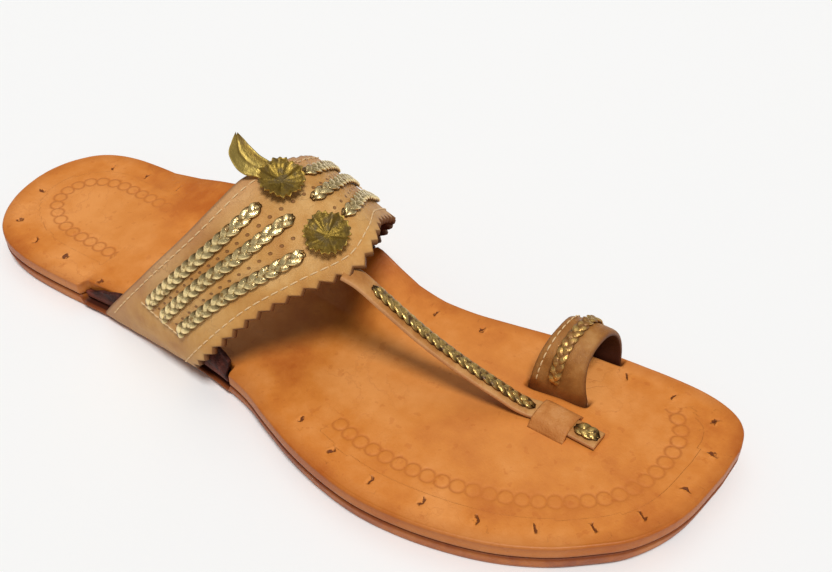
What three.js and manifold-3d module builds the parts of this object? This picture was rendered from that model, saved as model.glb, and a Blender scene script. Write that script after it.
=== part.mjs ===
// Kolhapuri sandal, right foot, in millimetres. +Y points to the toe, +X to the little toe, +Z up.
// Two layers of leather hold a broad plaited vamp at the waist, a big-toe loop and a toe strap.
import * as THREE from 'three';
import { mergeVertices } from 'three/addons/utils/BufferGeometryUtils.js';
import Module from 'manifold-3d';

const wasm = await Module();
wasm.setup();

// Driving sizes of the sole
const soleLength = 250;
const ballWidth = 82;
const outsoleThickness = 5.2;
const insoleThickness = 4.5;
const seatGap = 0.3;
const toeSpring = 1.5;
const waistHollow = 0.8;
const medialCurl = 9;
const sideDraft = 0.9;

// Driving sizes of the ears, vamp, strap and loop
const earThickness = 2.0;
const earReach = 9;
const earStand = 9;
const vampThickness = 2.0;
const vampBackHeight = 59.8;
const vampFrontHeight = 45.4;
const pinkPitch = 4.9;
const pinkDepth = 2.0;
const strapWidth = 6.6;
const strapThickness = 1.8;
const loopLength = 16.8;
const loopTopLength = 12;
const loopSpan = 22;
const loopHeight = 16.5;
const loopThickness = 2.0;
const keeperLength = 11;
const keeperThickness = 1.2;
const tabLength = 8;

// Driving sizes of the trims
const braidWidth = 4.0;
const braidThickness = 1.3;
const braidPitch = 3.6;
const strapBraidWidth = 3.4;
const strapBraidThickness = 1.2;
const rosetteDiameter = 12.8;
const rosetteThickness = 0.9;
const rosetteCup = 1.7;
const rosetteTeeth = 20;
const leafLength = 17.5;
const leafWidth = 12;
const leafThickness = 0.9;

// Heights of the layers above the floor
const insoleBottom = outsoleThickness + seatGap;
const insoleTop = insoleBottom + insoleThickness;
const ledgeTop = insoleBottom - 2 * seatGap - earThickness;

// Outline of the sole. at is a share of the length, medial and lateral are shares of the ball width.
const outlineRows = [
  { at: 0.0, medial: -0.08, lateral: -0.02 },
  { at: 0.004, medial: -0.145, lateral: 0.055 },
  { at: 0.012, medial: -0.21, lateral: 0.13 },
  { at: 0.028, medial: -0.285, lateral: 0.215 },
  { at: 0.05, medial: -0.335, lateral: 0.283 },
  { at: 0.08, medial: -0.368, lateral: 0.33 },
  { at: 0.12, medial: -0.386, lateral: 0.352 },
  { at: 0.17, medial: -0.396, lateral: 0.352 },
  { at: 0.22, medial: -0.403, lateral: 0.342 },
  { at: 0.27, medial: -0.405, lateral: 0.33 },
  { at: 0.33, medial: -0.406, lateral: 0.324 },
  { at: 0.4, medial: -0.412, lateral: 0.328 },
  { at: 0.46, medial: -0.424, lateral: 0.34 },
  { at: 0.51, medial: -0.425, lateral: 0.366 },
  { at: 0.55, medial: -0.418, lateral: 0.408 },
  { at: 0.6, medial: -0.412, lateral: 0.456 },
  { at: 0.65, medial: -0.425, lateral: 0.487 },
  { at: 0.7, medial: -0.46, lateral: 0.499 },
  { at: 0.75, medial: -0.498, lateral: 0.484 },
  { at: 0.8, medial: -0.528, lateral: 0.448 },
  { at: 0.85, medial: -0.548, lateral: 0.391 },
  { at: 0.9, medial: -0.558, lateral: 0.304 },
  { at: 0.935, medial: -0.555, lateral: 0.215 },
  { at: 0.96, medial: -0.538, lateral: 0.14 },
  { at: 0.98, medial: -0.507, lateral: 0.04 },
  { at: 0.992, medial: -0.465, lateral: -0.065 },
  { at: 1.0, medial: -0.39, lateral: -0.26 },
];

// How the sole bends along its length. curl and hollow are shares of medialCurl and waistHollow.
const bendRows = [
  { at: 0.0, curl: 0, hollow: 0, spring: 0 },
  { at: 0.15, curl: 0, hollow: 0, spring: 0 },
  { at: 0.2, curl: 0.3, hollow: 0, spring: 0 },
  { at: 0.24, curl: 0.64, hollow: 0.3, spring: 0 },
  { at: 0.28, curl: 0.95, hollow: 0.6, spring: 0 },
  { at: 0.34, curl: 1, hollow: 1, spring: 0 },
  { at: 0.48, curl: 1, hollow: 0.6, spring: 0 },
  { at: 0.51, curl: 0.86, hollow: 0.3, spring: 0 },
  { at: 0.54, curl: 0.48, hollow: 0, spring: 0 },
  { at: 0.57, curl: 0.16, hollow: 0, spring: 0 },
  { at: 0.61, curl: 0, hollow: 0, spring: 0 },
  { at: 0.86, curl: 0, hollow: 0, spring: 0 },
  { at: 0.94, curl: 0, hollow: 0, spring: 0.45 },
  { at: 1.0, curl: 0, hollow: 0, spring: 1 },
];

// Where the curl begins between the middle of the sole and its medial edge, as a share
const curlStart = 0.3;

// Straight line between the rows of a table
function tableValue(rows, keyColumn, column, key) {
  if (key <= rows[0][keyColumn]) return rows[0][column];
  for (let i = 1; i < rows.length; i += 1) {
    const before = rows[i - 1];
    const after = rows[i];
    if (key <= after[keyColumn]) {
      const share = (key - before[keyColumn]) / (after[keyColumn] - before[keyColumn]);
      return THREE.MathUtils.lerp(before[column], after[column], share);
    }
  }
  return rows[rows.length - 1][column];
}

// Smooth stations through the outline rows, used by every layer of the sole
const outlineCurve = new THREE.CatmullRomCurve3(
  outlineRows.map((row) => new THREE.Vector3(
    row.medial * ballWidth,
    row.at * soleLength,
    row.lateral * ballWidth,
  )),
  false,
  'centripetal',
);
const stationCount = 46;
const stations = outlineCurve.getPoints(stationCount).map((point) => ({
  y: point.y,
  medial: point.x,
  lateral: point.z,
  curl: tableValue(bendRows, 'at', 'curl', point.y / soleLength) * medialCurl,
  hollow: tableValue(bendRows, 'at', 'hollow', point.y / soleLength) * waistHollow,
  spring: tableValue(bendRows, 'at', 'spring', point.y / soleLength) * toeSpring,
}));

function stationValue(y, column) {
  return tableValue(stations, 'y', column, y);
}

// Rise of the bent sole over its flat shape, at a place on it
function soleRise(x, y) {
  const medial = stationValue(y, 'medial');
  const middle = (medial + stationValue(y, 'lateral')) / 2;
  const out = THREE.MathUtils.clamp((middle - x) / (middle - medial), curlStart, 1);
  return stationValue(y, 'curl') * (out - curlStart) / (1 - curlStart) + stationValue(y, 'spring');
}

// Six times the volume that triangles enclose, negative when their faces point inwards
function signedVolume(positions, index) {
  const corner = (i) => new THREE.Vector3().fromArray(positions, 3 * index[i]);
  let total = 0;
  for (let i = 0; i < index.length; i += 3) {
    total += corner(i).dot(corner(i + 1).cross(corner(i + 2)));
  }
  return total;
}

// A closed mesh through rings of points, with its faces pointing out. A ring runs out and back, so
// its second half is split along the same diagonals as its first.
function loft(rings) {
  const count = rings[0].length;
  const positions = rings.flat().flatMap((point) => [point.x, point.y, point.z]);
  const index = [];
  for (let i = 0; i + 1 < rings.length; i += 1) {
    for (let j = 0; j < count; j += 1) {
      const a = i * count + j;
      const b = i * count + ((j + 1) % count);
      if (j < count / 2) index.push(a, b, a + count, b, b + count, a + count);
      else index.push(a, b, b + count, a, b + count, a + count);
    }
  }
  capRing(index, count, 0, true);
  capRing(index, count, (rings.length - 1) * count, false);
  if (signedVolume(positions, index) < 0) index.reverse();
  const geometry = new THREE.BufferGeometry();
  geometry.setAttribute('position', new THREE.Float32BufferAttribute(positions, 3));
  geometry.setIndex(index);
  return geometry;
}

// Fills a ring whose points run there and back as two facing rows
function capRing(index, count, offset, isStart) {
  const last = count - 1;
  for (let j = 0; j < count / 2 - 1; j += 1) {
    const a = offset + j;
    const b = offset + j + 1;
    const c = offset + last - j - 1;
    const d = offset + last - j;
    if (isStart) index.push(a, d, c, a, c, b);
    else index.push(a, c, d, a, b, c);
  }
}

// A solid of the boolean library from a closed mesh
function toSolid(geometry) {
  const bare = geometry.clone();
  bare.deleteAttribute('normal');
  bare.deleteAttribute('uv');
  const merged = mergeVertices(bare, 1e-4);
  return new wasm.Manifold(new wasm.Mesh({
    numProp: 3,
    vertProperties: Float32Array.from(merged.attributes.position.array),
    triVerts: Uint32Array.from(merged.index.array),
  }));
}

function toGeometry(solid) {
  const mesh = solid.getMesh();
  const geometry = new THREE.BufferGeometry();
  geometry.setAttribute('position', new THREE.BufferAttribute(Float32Array.from(mesh.vertProperties), 3));
  geometry.setIndex(Array.from(mesh.triVerts));
  return geometry;
}

const sandal = new THREE.Group();

function addPiece(name, geometry, color, roughness, metalness) {
  geometry.computeVertexNormals();
  const material = new THREE.MeshStandardMaterial({ color, roughness, metalness });
  const mesh = new THREE.Mesh(geometry, material);
  mesh.name = name;
  sandal.add(mesh);
}

// Places across the sole, from the medial edge to the lateral edge, as shares
const curlShare = (1 - curlStart) / 2;
const acrossShares = [0, curlShare / 3, 2 * curlShare / 3, curlShare, 0.6, 0.85, 1];

// One layer of the sole: a plate with the outline, bevelled edges and the sole's bend
function solePlate(low, high, hollowShare, draft) {
  const rings = stations.map((station) => {
    const pointAt = (share, z, inset) => {
      const flat = THREE.MathUtils.lerp(station.medial, station.lateral, share);
      const x = THREE.MathUtils.lerp(station.medial + inset, station.lateral - inset, share);
      return new THREE.Vector3(x, station.y, z + soleRise(flat, station.y));
    };
    const inset = Math.min(draft, (station.lateral - station.medial) / 8);
    const under = acrossShares.map((share) => pointAt(share, low + hollowShare * station.hollow, inset));
    const over = acrossShares.map((share) => pointAt(share, high, 0)).reverse();
    return [...under, ...over];
  });
  return loft(rings);
}

// A strip that follows one edge of the sole. section(share) gives its ring as pairs out, z.
function edgeStrip(side, from, to, section) {
  const outward = side === 'lateral' ? 1 : -1;
  const rings = [];
  const between = stations.map((station) => station.y).filter((y) => y > from && y < to);
  for (const y of [from, ...between, to]) {
    const edge = stationValue(y, side);
    const ring = section((y - from) / (to - from)).map(([out, z]) => {
      const x = edge + outward * out;
      const onSole = side === 'lateral' ? Math.min(x, edge) : Math.max(x, edge);
      return new THREE.Vector3(x, y, z + soleRise(onSole, y));
    });
    rings.push(outward > 0 ? ring : ring.reverse());
  }
  return loft(rings);
}

// Where the vamp and its ears stand along the sole, as shares of its length
const waistRows = {
  lateral: { earBack: 0.225, back: 0.262, front: 0.424, earFront: 0.475 },
  medial: { earBack: 0.27, back: 0.306, front: 0.488, earFront: 0.497 },
};

// Distances out from the sole's edge: vamp wall, ear wall, insole edge
const vampFace = 0.5;
const vampInner = vampFace - vampThickness;
const earOuter = vampInner - seatGap;
const earWall = 1.4;
const earInner = earOuter - earWall;
const insoleEdge = earInner - seatGap;
const earRoot = insoleEdge - earReach;
const cutClear = 4;

// Outsole
let outsole = toSolid(solePlate(0, outsoleThickness, 1, sideDraft));
for (const side of ['lateral', 'medial']) {
  const rows = waistRows[side];
  const ledgeBack = rows.earBack * soleLength - seatGap;
  const ledgeFront = rows.earFront * soleLength + seatGap;
  const ledge = edgeStrip(side, ledgeBack, ledgeFront, () => [
    [earRoot - seatGap, ledgeTop],
    [(earRoot + earInner) / 2, ledgeTop],
    [cutClear, ledgeTop],
    [cutClear, insoleBottom + cutClear],
    [(earRoot + earInner) / 2, insoleBottom + cutClear],
    [earRoot - seatGap, insoleBottom + cutClear],
  ]);
  outsole = outsole.subtract(toSolid(ledge));
}

// Insole, trimmed at the waist for the ears
let insole = toSolid(solePlate(insoleBottom, insoleTop, 0, 0));
for (const side of ['lateral', 'medial']) {
  const rows = waistRows[side];
  const trimBack = rows.earBack * soleLength - seatGap;
  const trimFront = rows.earFront * soleLength + seatGap;
  const trim = edgeStrip(side, trimBack, trimFront, () => [
    [insoleEdge, ledgeTop - cutClear],
    [cutClear, ledgeTop - cutClear],
    [cutClear, insoleTop + cutClear],
    [insoleEdge, insoleTop + cutClear],
  ]);
  insole = insole.subtract(toSolid(trim));
}

// Height of an ear's wall over the insole, as a share of earStand
const earRows = [
  { at: 0.0, stand: -0.35 },
  { at: 0.2, stand: 0.2 },
  { at: 0.6, stand: 0.7 },
  { at: 0.85, stand: 1 },
  { at: 1.0, stand: 0.45 },
];

function earSolid(side) {
  const rows = waistRows[side];
  return edgeStrip(side, rows.earBack * soleLength, rows.earFront * soleLength, (share) => {
    const top = insoleTop + earStand * tableValue(earRows, 'at', 'stand', share);
    const earMiddle = (earRoot + earInner) / 2;
    return [
      [earRoot, ledgeTop + seatGap],
      [earMiddle, ledgeTop + seatGap],
      [earOuter, ledgeTop + seatGap],
      [earOuter, top],
      [earInner, top],
      [earInner, insoleBottom - seatGap],
      [earMiddle, insoleBottom - seatGap],
      [earRoot, insoleBottom - seatGap],
    ];
  });
}

// Back edge of the vamp from its lateral foot to its medial foot. across is a share of half the
// span, up a share of the height.
const vampBackRows = [
  { across: 1.0, up: 0 },
  { across: 1.02, up: 0.16 },
  { across: 0.96, up: 0.33 },
  { across: 0.88, up: 0.54 },
  { across: 0.73, up: 0.75 },
  { across: 0.5, up: 0.93 },
  { across: 0.2, up: 1.005 },
  { across: -0.155, up: 1.01 },
  { across: -0.435, up: 0.94 },
  { across: -0.75, up: 0.8 },
  { across: -1.025, up: 0.65 },
  { across: -1.2, up: 0.455 },
  { across: -1.145, up: 0.215 },
  { across: -1.0, up: 0 },
];
const vampFrontRows = [
  { across: 1.0, up: 0 },
  { across: 1.13, up: 0.17 },
  { across: 1.13, up: 0.36 },
  { across: 1.02, up: 0.54 },
  { across: 0.845, up: 0.72 },
  { across: 0.545, up: 0.92 },
  { across: 0.205, up: 1.06 },
  { across: -0.105, up: 1.115 },
  { across: -0.405, up: 1.04 },
  { across: -0.715, up: 0.84 },
  { across: -0.97, up: 0.645 },
  { across: -1.075, up: 0.4 },
  { across: -1.05, up: 0.165 },
  { across: -1.0, up: 0 },
];

// How far the vamp's edges lean to the toe for each millimetre that they rise, and how far their
// middles are drawn forwards, in millimetres
const leanRows = {
  back: { lateral: 0.77, medial: 0.84, point: -3.8 },
  front: { lateral: 0.645, medial: 0.65, point: 10.5 },
};
const pointAt = 0.465;
const pointSpread = 0.1;

// One edge of the vamp's outer face, as a curve in space
function vampEdge(rows, which, height) {
  const lateralY = waistRows.lateral[which] * soleLength;
  const medialY = waistRows.medial[which] * soleLength;
  const lateralX = stationValue(lateralY, 'lateral') + vampFace;
  const medialX = stationValue(medialY, 'medial') - vampFace;
  const lateralZ = ledgeTop + seatGap + soleRise(lateralX, lateralY);
  const medialZ = ledgeTop + seatGap + soleRise(medialX, medialY);
  const lean = leanRows[which];
  const points = rows.map((row, i) => {
    const share = i / (rows.length - 1);
    const footZ = THREE.MathUtils.lerp(lateralZ, medialZ, share);
    const z = footZ + (height - footZ) * row.up;
    const footY = THREE.MathUtils.lerp(lateralY, medialY, share);
    const leanHere = THREE.MathUtils.lerp(lean.lateral, lean.medial, share);
    const point = lean.point * Math.exp(-(((share - pointAt) / pointSpread) ** 2));
    const x = (lateralX + medialX) / 2 + row.across * (lateralX - medialX) / 2;
    return new THREE.Vector3(x, footY + leanHere * (z - footZ) + point, z);
  });
  return new THREE.CatmullRomCurve3(points, false, 'centripetal');
}

const vampBack = vampEdge(vampBackRows, 'back', vampBackHeight);
const vampFront = vampEdge(vampFrontRows, 'front', vampFrontHeight);
const vampSwell = 1.6;

// Outer face of the vamp: around runs from the lateral foot to the medial foot, along from back to front
function vampPoint(around, along, lift = 0) {
  const place = (u, v) => vampBack.getPointAt(THREE.MathUtils.clamp(u, 0, 1))
    .lerp(vampFront.getPointAt(THREE.MathUtils.clamp(u, 0, 1)), v);
  const step = 0.004;
  const u0 = Math.max(around - step, 0);
  const u1 = Math.min(around + step, 1);
  const acrossway = place(u1, along).sub(place(u0, along));
  const lengthway = place(around, along + 0.05).sub(place(around, along - 0.05));
  const normal = lengthway.cross(acrossway).normalize();
  const inside = THREE.MathUtils.clamp(along, 0, 1);
  const swell = vampSwell * Math.sin(Math.PI * inside) * Math.sin(Math.PI * around);
  return place(around, along).addScaledVector(normal, lift + swell);
}

// A bent sheet with a pinked front edge
function vampSheet() {
  const girth = vampFront.getLength();
  const columns = 2 * Math.round(girth / pinkPitch);
  const alongShares = [0, 0.25, 0.5, 0.75];
  const frontLength = vampBack.getPointAt(0.5).distanceTo(vampFront.getPointAt(0.5));
  const toothShare = pinkDepth / frontLength;
  const rings = [];
  for (let i = 0; i <= columns; i += 1) {
    const around = i / columns;
    const tip = i % 2 === 0 ? 1 - toothShare : 1;
    const rowShares = [...alongShares, 1 - 1.6 * toothShare, tip];
    const outer = rowShares.map((share) => vampPoint(around, share));
    const inner = rowShares.map((share) => vampPoint(around, share, -vampThickness)).reverse();
    rings.push([...outer, ...inner]);
  }
  return loft(rings);
}

// A flat strip carried along a list of frames, each with centre, side, up and half width
function ribbon(frames, thickness) {
  const rings = frames.map((frame) => {
    const corner = (sideways, upward) => frame.centre.clone()
      .addScaledVector(frame.side, sideways)
      .addScaledVector(frame.up, upward);
    return [
      corner(-frame.half, 0),
      corner(frame.half, 0),
      corner(frame.half, thickness),
      corner(-frame.half, thickness),
    ];
  });
  return loft(rings);
}

// Frames along a curve, with the side direction held level
function levelFrames(curve, steps, half) {
  const frames = [];
  for (let i = 0; i <= steps; i += 1) {
    const ahead = curve.getTangentAt(i / steps);
    const side = new THREE.Vector3().crossVectors(ahead, new THREE.Vector3(0, 0, 1)).normalize();
    const up = new THREE.Vector3().crossVectors(side, ahead).normalize();
    frames.push({ centre: curve.getPointAt(i / steps), side, up, half, ahead });
  }
  return frames;
}

// Under side of the toe strap. across is a share of the ball width, at of the length, up of the
// drop from the vamp's front edge to the insole.
const strapAround = 0.495;
const strapRoot = vampPoint(strapAround, 1, -vampThickness / 2);
const strapRest = insoleTop + seatGap;
const keeperStart = 0.797 * soleLength;
const keeperEnd = keeperStart + keeperLength;
const tabEnd = keeperEnd + tabLength;
const strapEndX = -0.14 * ballWidth;
const strapRows = [
  { run: -0.1, across: -0.1, drop: -0.045 },
  { run: 0, across: 0, drop: 0.02 },
  { run: 0.14, across: 0.14, drop: 0.2 },
  { run: 0.35, across: 0.35, drop: 0.47 },
  { run: 0.57, across: 0.57, drop: 0.7 },
  { run: 0.79, across: 0.79, drop: 0.89 },
  { run: 0.88, across: 0.88, drop: 0.965 },
  { run: 0.96, across: 0.96, drop: 0.998 },
  { run: 1, across: 1, drop: 1 },
];
const strapTop = strapRoot.z - strapThickness;
const strapPoints = strapRows.map((row) => new THREE.Vector3(
  THREE.MathUtils.lerp(strapRoot.x, strapEndX, row.across),
  THREE.MathUtils.lerp(strapRoot.y, keeperStart, row.run),
  THREE.MathUtils.lerp(strapTop, strapRest, row.drop),
));
const tailPoints = [
  new THREE.Vector3(strapEndX, (keeperStart + keeperEnd) / 2, strapRest),
  new THREE.Vector3(strapEndX, keeperEnd, strapRest),
  new THREE.Vector3(strapEndX, tabEnd, strapRest),
];
const strapCurve = new THREE.CatmullRomCurve3([...strapPoints, ...tailPoints], false, 'centripetal');
const strapFrames = levelFrames(strapCurve, 26, strapWidth / 2);

const upper = toSolid(vampSheet()).add(toSolid(ribbon(strapFrames, strapThickness)));

// Big-toe loop. Its outer face is an arch across the sole, carried along the sole's length.
const loopBack = 0.765 * soleLength;
const loopMiddleX = -0.382 * ballWidth;
const loopSkew = -0.14;
const loopRows = [
  { across: 1.0, up: 0.0 },
  { across: 1.05, up: 0.28 },
  { across: 1.0, up: 0.56 },
  { across: 0.84, up: 0.8 },
  { across: 0.5, up: 0.96 },
  { across: 0.08, up: 1.0 },
  { across: -0.4, up: 0.95 },
  { across: -0.8, up: 0.76 },
  { across: -1.01, up: 0.48 },
  { across: -1.05, up: 0.22 },
  { across: -1.0, up: 0.0 },
];
const loopSeat = outsoleThickness + 2 * seatGap;
const loopPoints = loopRows.map((row) => new THREE.Vector3(
  row.across * loopSpan / 2,
  0,
  insoleTop + row.up * loopHeight,
));
const loopFirst = new THREE.Vector3(loopSpan / 2, 0, loopSeat);
const loopLast = new THREE.Vector3(-loopSpan / 2, 0, loopSeat);
const loopCurve = new THREE.CatmullRomCurve3([loopFirst, ...loopPoints, loopLast], false, 'centripetal');

function loopPoint(around, along, lift = 0) {
  const tangent = loopCurve.getTangentAt(around);
  const normal = new THREE.Vector3(tangent.z, 0, -tangent.x);
  const point = loopCurve.getPointAt(around).addScaledVector(normal, lift);
  const climb = THREE.MathUtils.clamp((point.z - insoleTop) / loopHeight, 0, 1);
  const y = (along - 0.5) * THREE.MathUtils.lerp(loopLength, loopTopLength, climb);
  return new THREE.Vector3(loopMiddleX + point.x + loopSkew * y, loopBack + loopLength / 2 + y, point.z);
}

function loopSheet(steps, along, outerLift, innerLift) {
  const rings = [];
  for (let i = 0; i <= steps; i += 1) {
    const around = i / steps;
    const outer = along.map((share) => loopPoint(around, share, outerLift));
    const inner = along.map((share) => loopPoint(around, share, innerLift)).reverse();
    rings.push([...outer, ...inner]);
  }
  return loft(rings);
}

// Slots in the insole for the loop's two ends
function loopSlot(sideShare) {
  const slot = new THREE.BoxGeometry(
    loopThickness + 2 * seatGap,
    loopLength + 2 * seatGap,
    4 * insoleThickness,
  );
  slot.applyMatrix4(new THREE.Matrix4().set(1, loopSkew, 0, 0, 0, 1, 0, 0, 0, 0, 1, 0, 0, 0, 0, 1));
  slot.translate(
    loopMiddleX + sideShare * (loopSpan - loopThickness) / 2,
    loopBack + loopLength / 2,
    insoleBottom,
  );
  return toSolid(slot);
}
insole = insole.subtract(loopSlot(1)).subtract(loopSlot(-1));

// Keeper bridge, raised from the insole's own leather over the strap's end. Its feet are sunk a
// little into the insole, and skirt is how far they reach beyond the strap's tunnel.
const bridgeInner = strapWidth / 2 + seatGap;
const bridgeTop = strapRest + strapThickness + seatGap;
const bridgeSkirt = 2.2;
const bridgeSunk = 1;
const bridgeRound = 0.8;
function keeperBridge() {
  const foot = bridgeInner + bridgeSkirt;
  const half = [
    [foot, insoleTop - bridgeSunk],
    [foot, insoleTop],
    [foot - bridgeRound, insoleTop + bridgeRound],
    [bridgeInner - bridgeRound / 2, bridgeTop + keeperThickness],
  ];
  const tunnel = [
    [bridgeInner - bridgeRound, bridgeTop],
    [bridgeInner, bridgeTop - bridgeRound / 2],
    [bridgeInner, insoleTop - bridgeSunk],
  ];
  const mirrored = (rows) => rows.map(([x, z]) => [-x, z]).reverse();
  const section = [...half, ...mirrored(half), ...mirrored(tunnel), ...tunnel];
  const shape = new THREE.Shape(section.map(([x, z]) => new THREE.Vector2(strapEndX + x, z)));
  const bridge = new THREE.ExtrudeGeometry(shape, { depth: keeperLength, bevelEnabled: false });
  bridge.rotateX(Math.PI / 2);
  bridge.translate(0, keeperEnd, 0);
  return bridge;
}
insole = insole.add(toSolid(keeperBridge()));

// Frames at even shares of a run
function framesAlong(frameAt, steps) {
  return Array.from({ length: steps + 1 }, (_, i) => frameAt(i / steps));
}

// A plait: a flat underside and two rows of strands that stand proud in turn
function braid(frames, width, thickness) {
  const rings = frames.map((frame, i) => {
    const left = i % 2 === 0 ? 1 : 0.66;
    const right = i % 2 === 0 ? 0.66 : 1;
    const wide = i === 0 || i === frames.length - 1 ? 0.62 : 1;
    const corner = (sideways, upward) => frame.centre.clone()
      .addScaledVector(frame.side, sideways * wide * width / 2)
      .addScaledVector(frame.up, upward * thickness);
    return [
      corner(-1, 0),
      corner(0, 0),
      corner(1, 0),
      corner(0.55, right),
      corner(0, 0.72),
      corner(-0.55, left),
    ];
  });
  return loft(rings);
}

// Braids on the vamp. along is the place between its back and front edge, from and to run round it.
const braidRows = [
  {
    name: 'back',
    lateral: [{ around: 0.138, along: 0.27 }, { around: 0.466, along: 0.25 }],
    medial: [{ around: 0.564, along: 0.22 }, { around: 0.8, along: 0.27 }],
  },
  {
    name: 'middle',
    lateral: [{ around: 0.135, along: 0.46 }, { around: 0.49, along: 0.46 }],
    medial: [{ around: 0.533, along: 0.43 }, { around: 0.81, along: 0.5 }],
  },
  {
    name: 'front',
    lateral: [{ around: 0.135, along: 0.66 }, { around: 0.456, along: 0.72 }],
    medial: [{ around: 0.555, along: 0.68 }, { around: 0.83, along: 0.74 }],
  },
];

function vampFrame(around, along) {
  const centre = vampPoint(around, along, seatGap);
  const up = vampPoint(around, along, 1).sub(vampPoint(around, along, 0)).normalize();
  const ahead = vampPoint(around + 0.004, along).sub(vampPoint(around - 0.004, along)).normalize();
  const side = new THREE.Vector3().crossVectors(ahead, up).normalize();
  return { centre, side, up };
}

function vampBraid([from, to]) {
  const run = (to.around - from.around) * (vampBack.getLength() + vampFront.getLength()) / 2;
  const steps = 2 * Math.round(run / braidPitch);
  const frameAt = (share) => vampFrame(
    THREE.MathUtils.lerp(from.around, to.around, share),
    THREE.MathUtils.lerp(from.along, to.along, share),
  );
  return braid(framesAlong(frameAt, steps), braidWidth, braidThickness);
}

// Braid along the toe strap, between the vamp's edge and the keeper, and on the strap's tab
function strapFrame(share) {
  const ahead = strapCurve.getTangentAt(share);
  const side = new THREE.Vector3().crossVectors(ahead, new THREE.Vector3(0, 0, 1)).normalize();
  const up = new THREE.Vector3().crossVectors(side, ahead).normalize();
  const centre = strapCurve.getPointAt(share).addScaledVector(up, strapThickness + seatGap);
  return { centre, side, up };
}

// Share of the strap's curve at a place along the sole
function strapShare(y) {
  let low = 0;
  let high = 1;
  for (let i = 0; i < 30; i += 1) {
    const middle = (low + high) / 2;
    if (strapCurve.getPointAt(middle).y < y) low = middle;
    else high = middle;
  }
  return low;
}

function strapBraid(fromY, toY) {
  const from = strapShare(fromY);
  const to = strapShare(toY);
  const steps = 2 * Math.max(1, Math.round((to - from) * strapCurve.getLength() / braidPitch));
  return braid(framesAlong((share) => strapFrame(THREE.MathUtils.lerp(from, to, share)), steps),
    strapBraidWidth, strapBraidThickness);
}

// Braid over the crown of the big-toe loop
const loopBraidStart = 0.18;
const loopBraidLift = 0.15;
function loopBraid() {
  const frameAt = (share) => {
    const around = THREE.MathUtils.lerp(loopBraidStart, 1 - loopBraidStart, share);
    const centre = loopPoint(around, 0.5, seatGap + loopBraidLift);
    const up = loopPoint(around, 0.5, 1).sub(loopPoint(around, 0.5, 0)).normalize();
    const ahead = loopPoint(around + 0.01, 0.5).sub(loopPoint(around - 0.01, 0.5)).normalize();
    return { centre, side: new THREE.Vector3().crossVectors(ahead, up).normalize(), up };
  };
  const run = loopCurve.getLength() * (1 - 2 * loopBraidStart);
  return braid(framesAlong(frameAt, 2 * Math.round(run / braidPitch)), strapBraidWidth, strapBraidThickness);
}

// A pinked disc on the vamp's crown, cupped so that its rim stands over the ends of the braids.
// base is the lift of its middle over the vamp.
const rosetteSeat = 0.38;
function rosette(around, along, base) {
  const { centre, side, up } = vampFrame(around, along);
  const across = new THREE.Vector3().crossVectors(side, up).normalize();
  const count = 2 * rosetteTeeth;
  const ringAt = (share, lift) => Array.from({ length: count }, (_, i) => {
    const turn = 2 * Math.PI * i / count;
    const tooth = share === 1 && i % 2 === 1 ? 0.9 : 1;
    const radius = share * tooth * rosetteDiameter / 2;
    return centre.clone()
      .addScaledVector(across, radius * Math.cos(turn))
      .addScaledVector(side, radius * Math.sin(turn))
      .addScaledVector(up, lift);
  });
  return loft([
    ringAt(rosetteSeat, base),
    ringAt(1, rosetteCup),
    ringAt(1, rosetteCup + rosetteThickness),
    ringAt(rosetteSeat, base + rosetteThickness),
  ]);
}

// Leaf with its stem under the back rosette. run is a share of its length, lateral and medial are
// shares of its width, rise is its middle's lift and roll the lift of its lateral edge.
const leafRows = [
  { run: 0.0, lateral: 0.18, medial: 0.18, rise: 0.01, roll: 0 },
  { run: 0.3, lateral: 0.32, medial: 0.2, rise: 0.015, roll: 0 },
  { run: 0.44, lateral: 0.55, medial: 0.12, rise: 0.05, roll: 0 },
  { run: 0.58, lateral: 0.66, medial: 0.02, rise: 0.1, roll: 0.04 },
  { run: 0.76, lateral: 0.64, medial: -0.04, rise: 0.16, roll: 0.08 },
  { run: 0.9, lateral: 0.42, medial: -0.08, rise: 0.21, roll: 0.07 },
  { run: 1.0, lateral: 0.2, medial: -0.12, rise: 0.27, roll: 0.03 },
];
function leaf(around, along) {
  const { centre, side, up } = vampFrame(around, along);
  const across = new THREE.Vector3().crossVectors(side, up).normalize();
  const rings = leafRows.map((row) => {
    const corner = (sideways, lift) => centre.clone()
      .addScaledVector(side, -row.run * leafLength)
      .addScaledVector(across, sideways)
      .addScaledVector(up, row.rise * leafLength + lift);
    const lateral = row.lateral * leafWidth;
    const medial = -row.medial * leafWidth;
    const roll = row.roll * leafWidth;
    return [corner(medial, -roll), corner((lateral + medial) / 2, 0), corner(lateral, roll),
      corner(lateral, roll + leafThickness), corner((lateral + medial) / 2, leafThickness),
      corner(medial, leafThickness - roll)];
  });
  return loft(rings);
}

const rosettePlaces = {
  back: { around: 0.515, along: 0.21, base: leafThickness + seatGap },
  front: { around: 0.505, along: 0.7, base: 0 },
};

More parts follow.
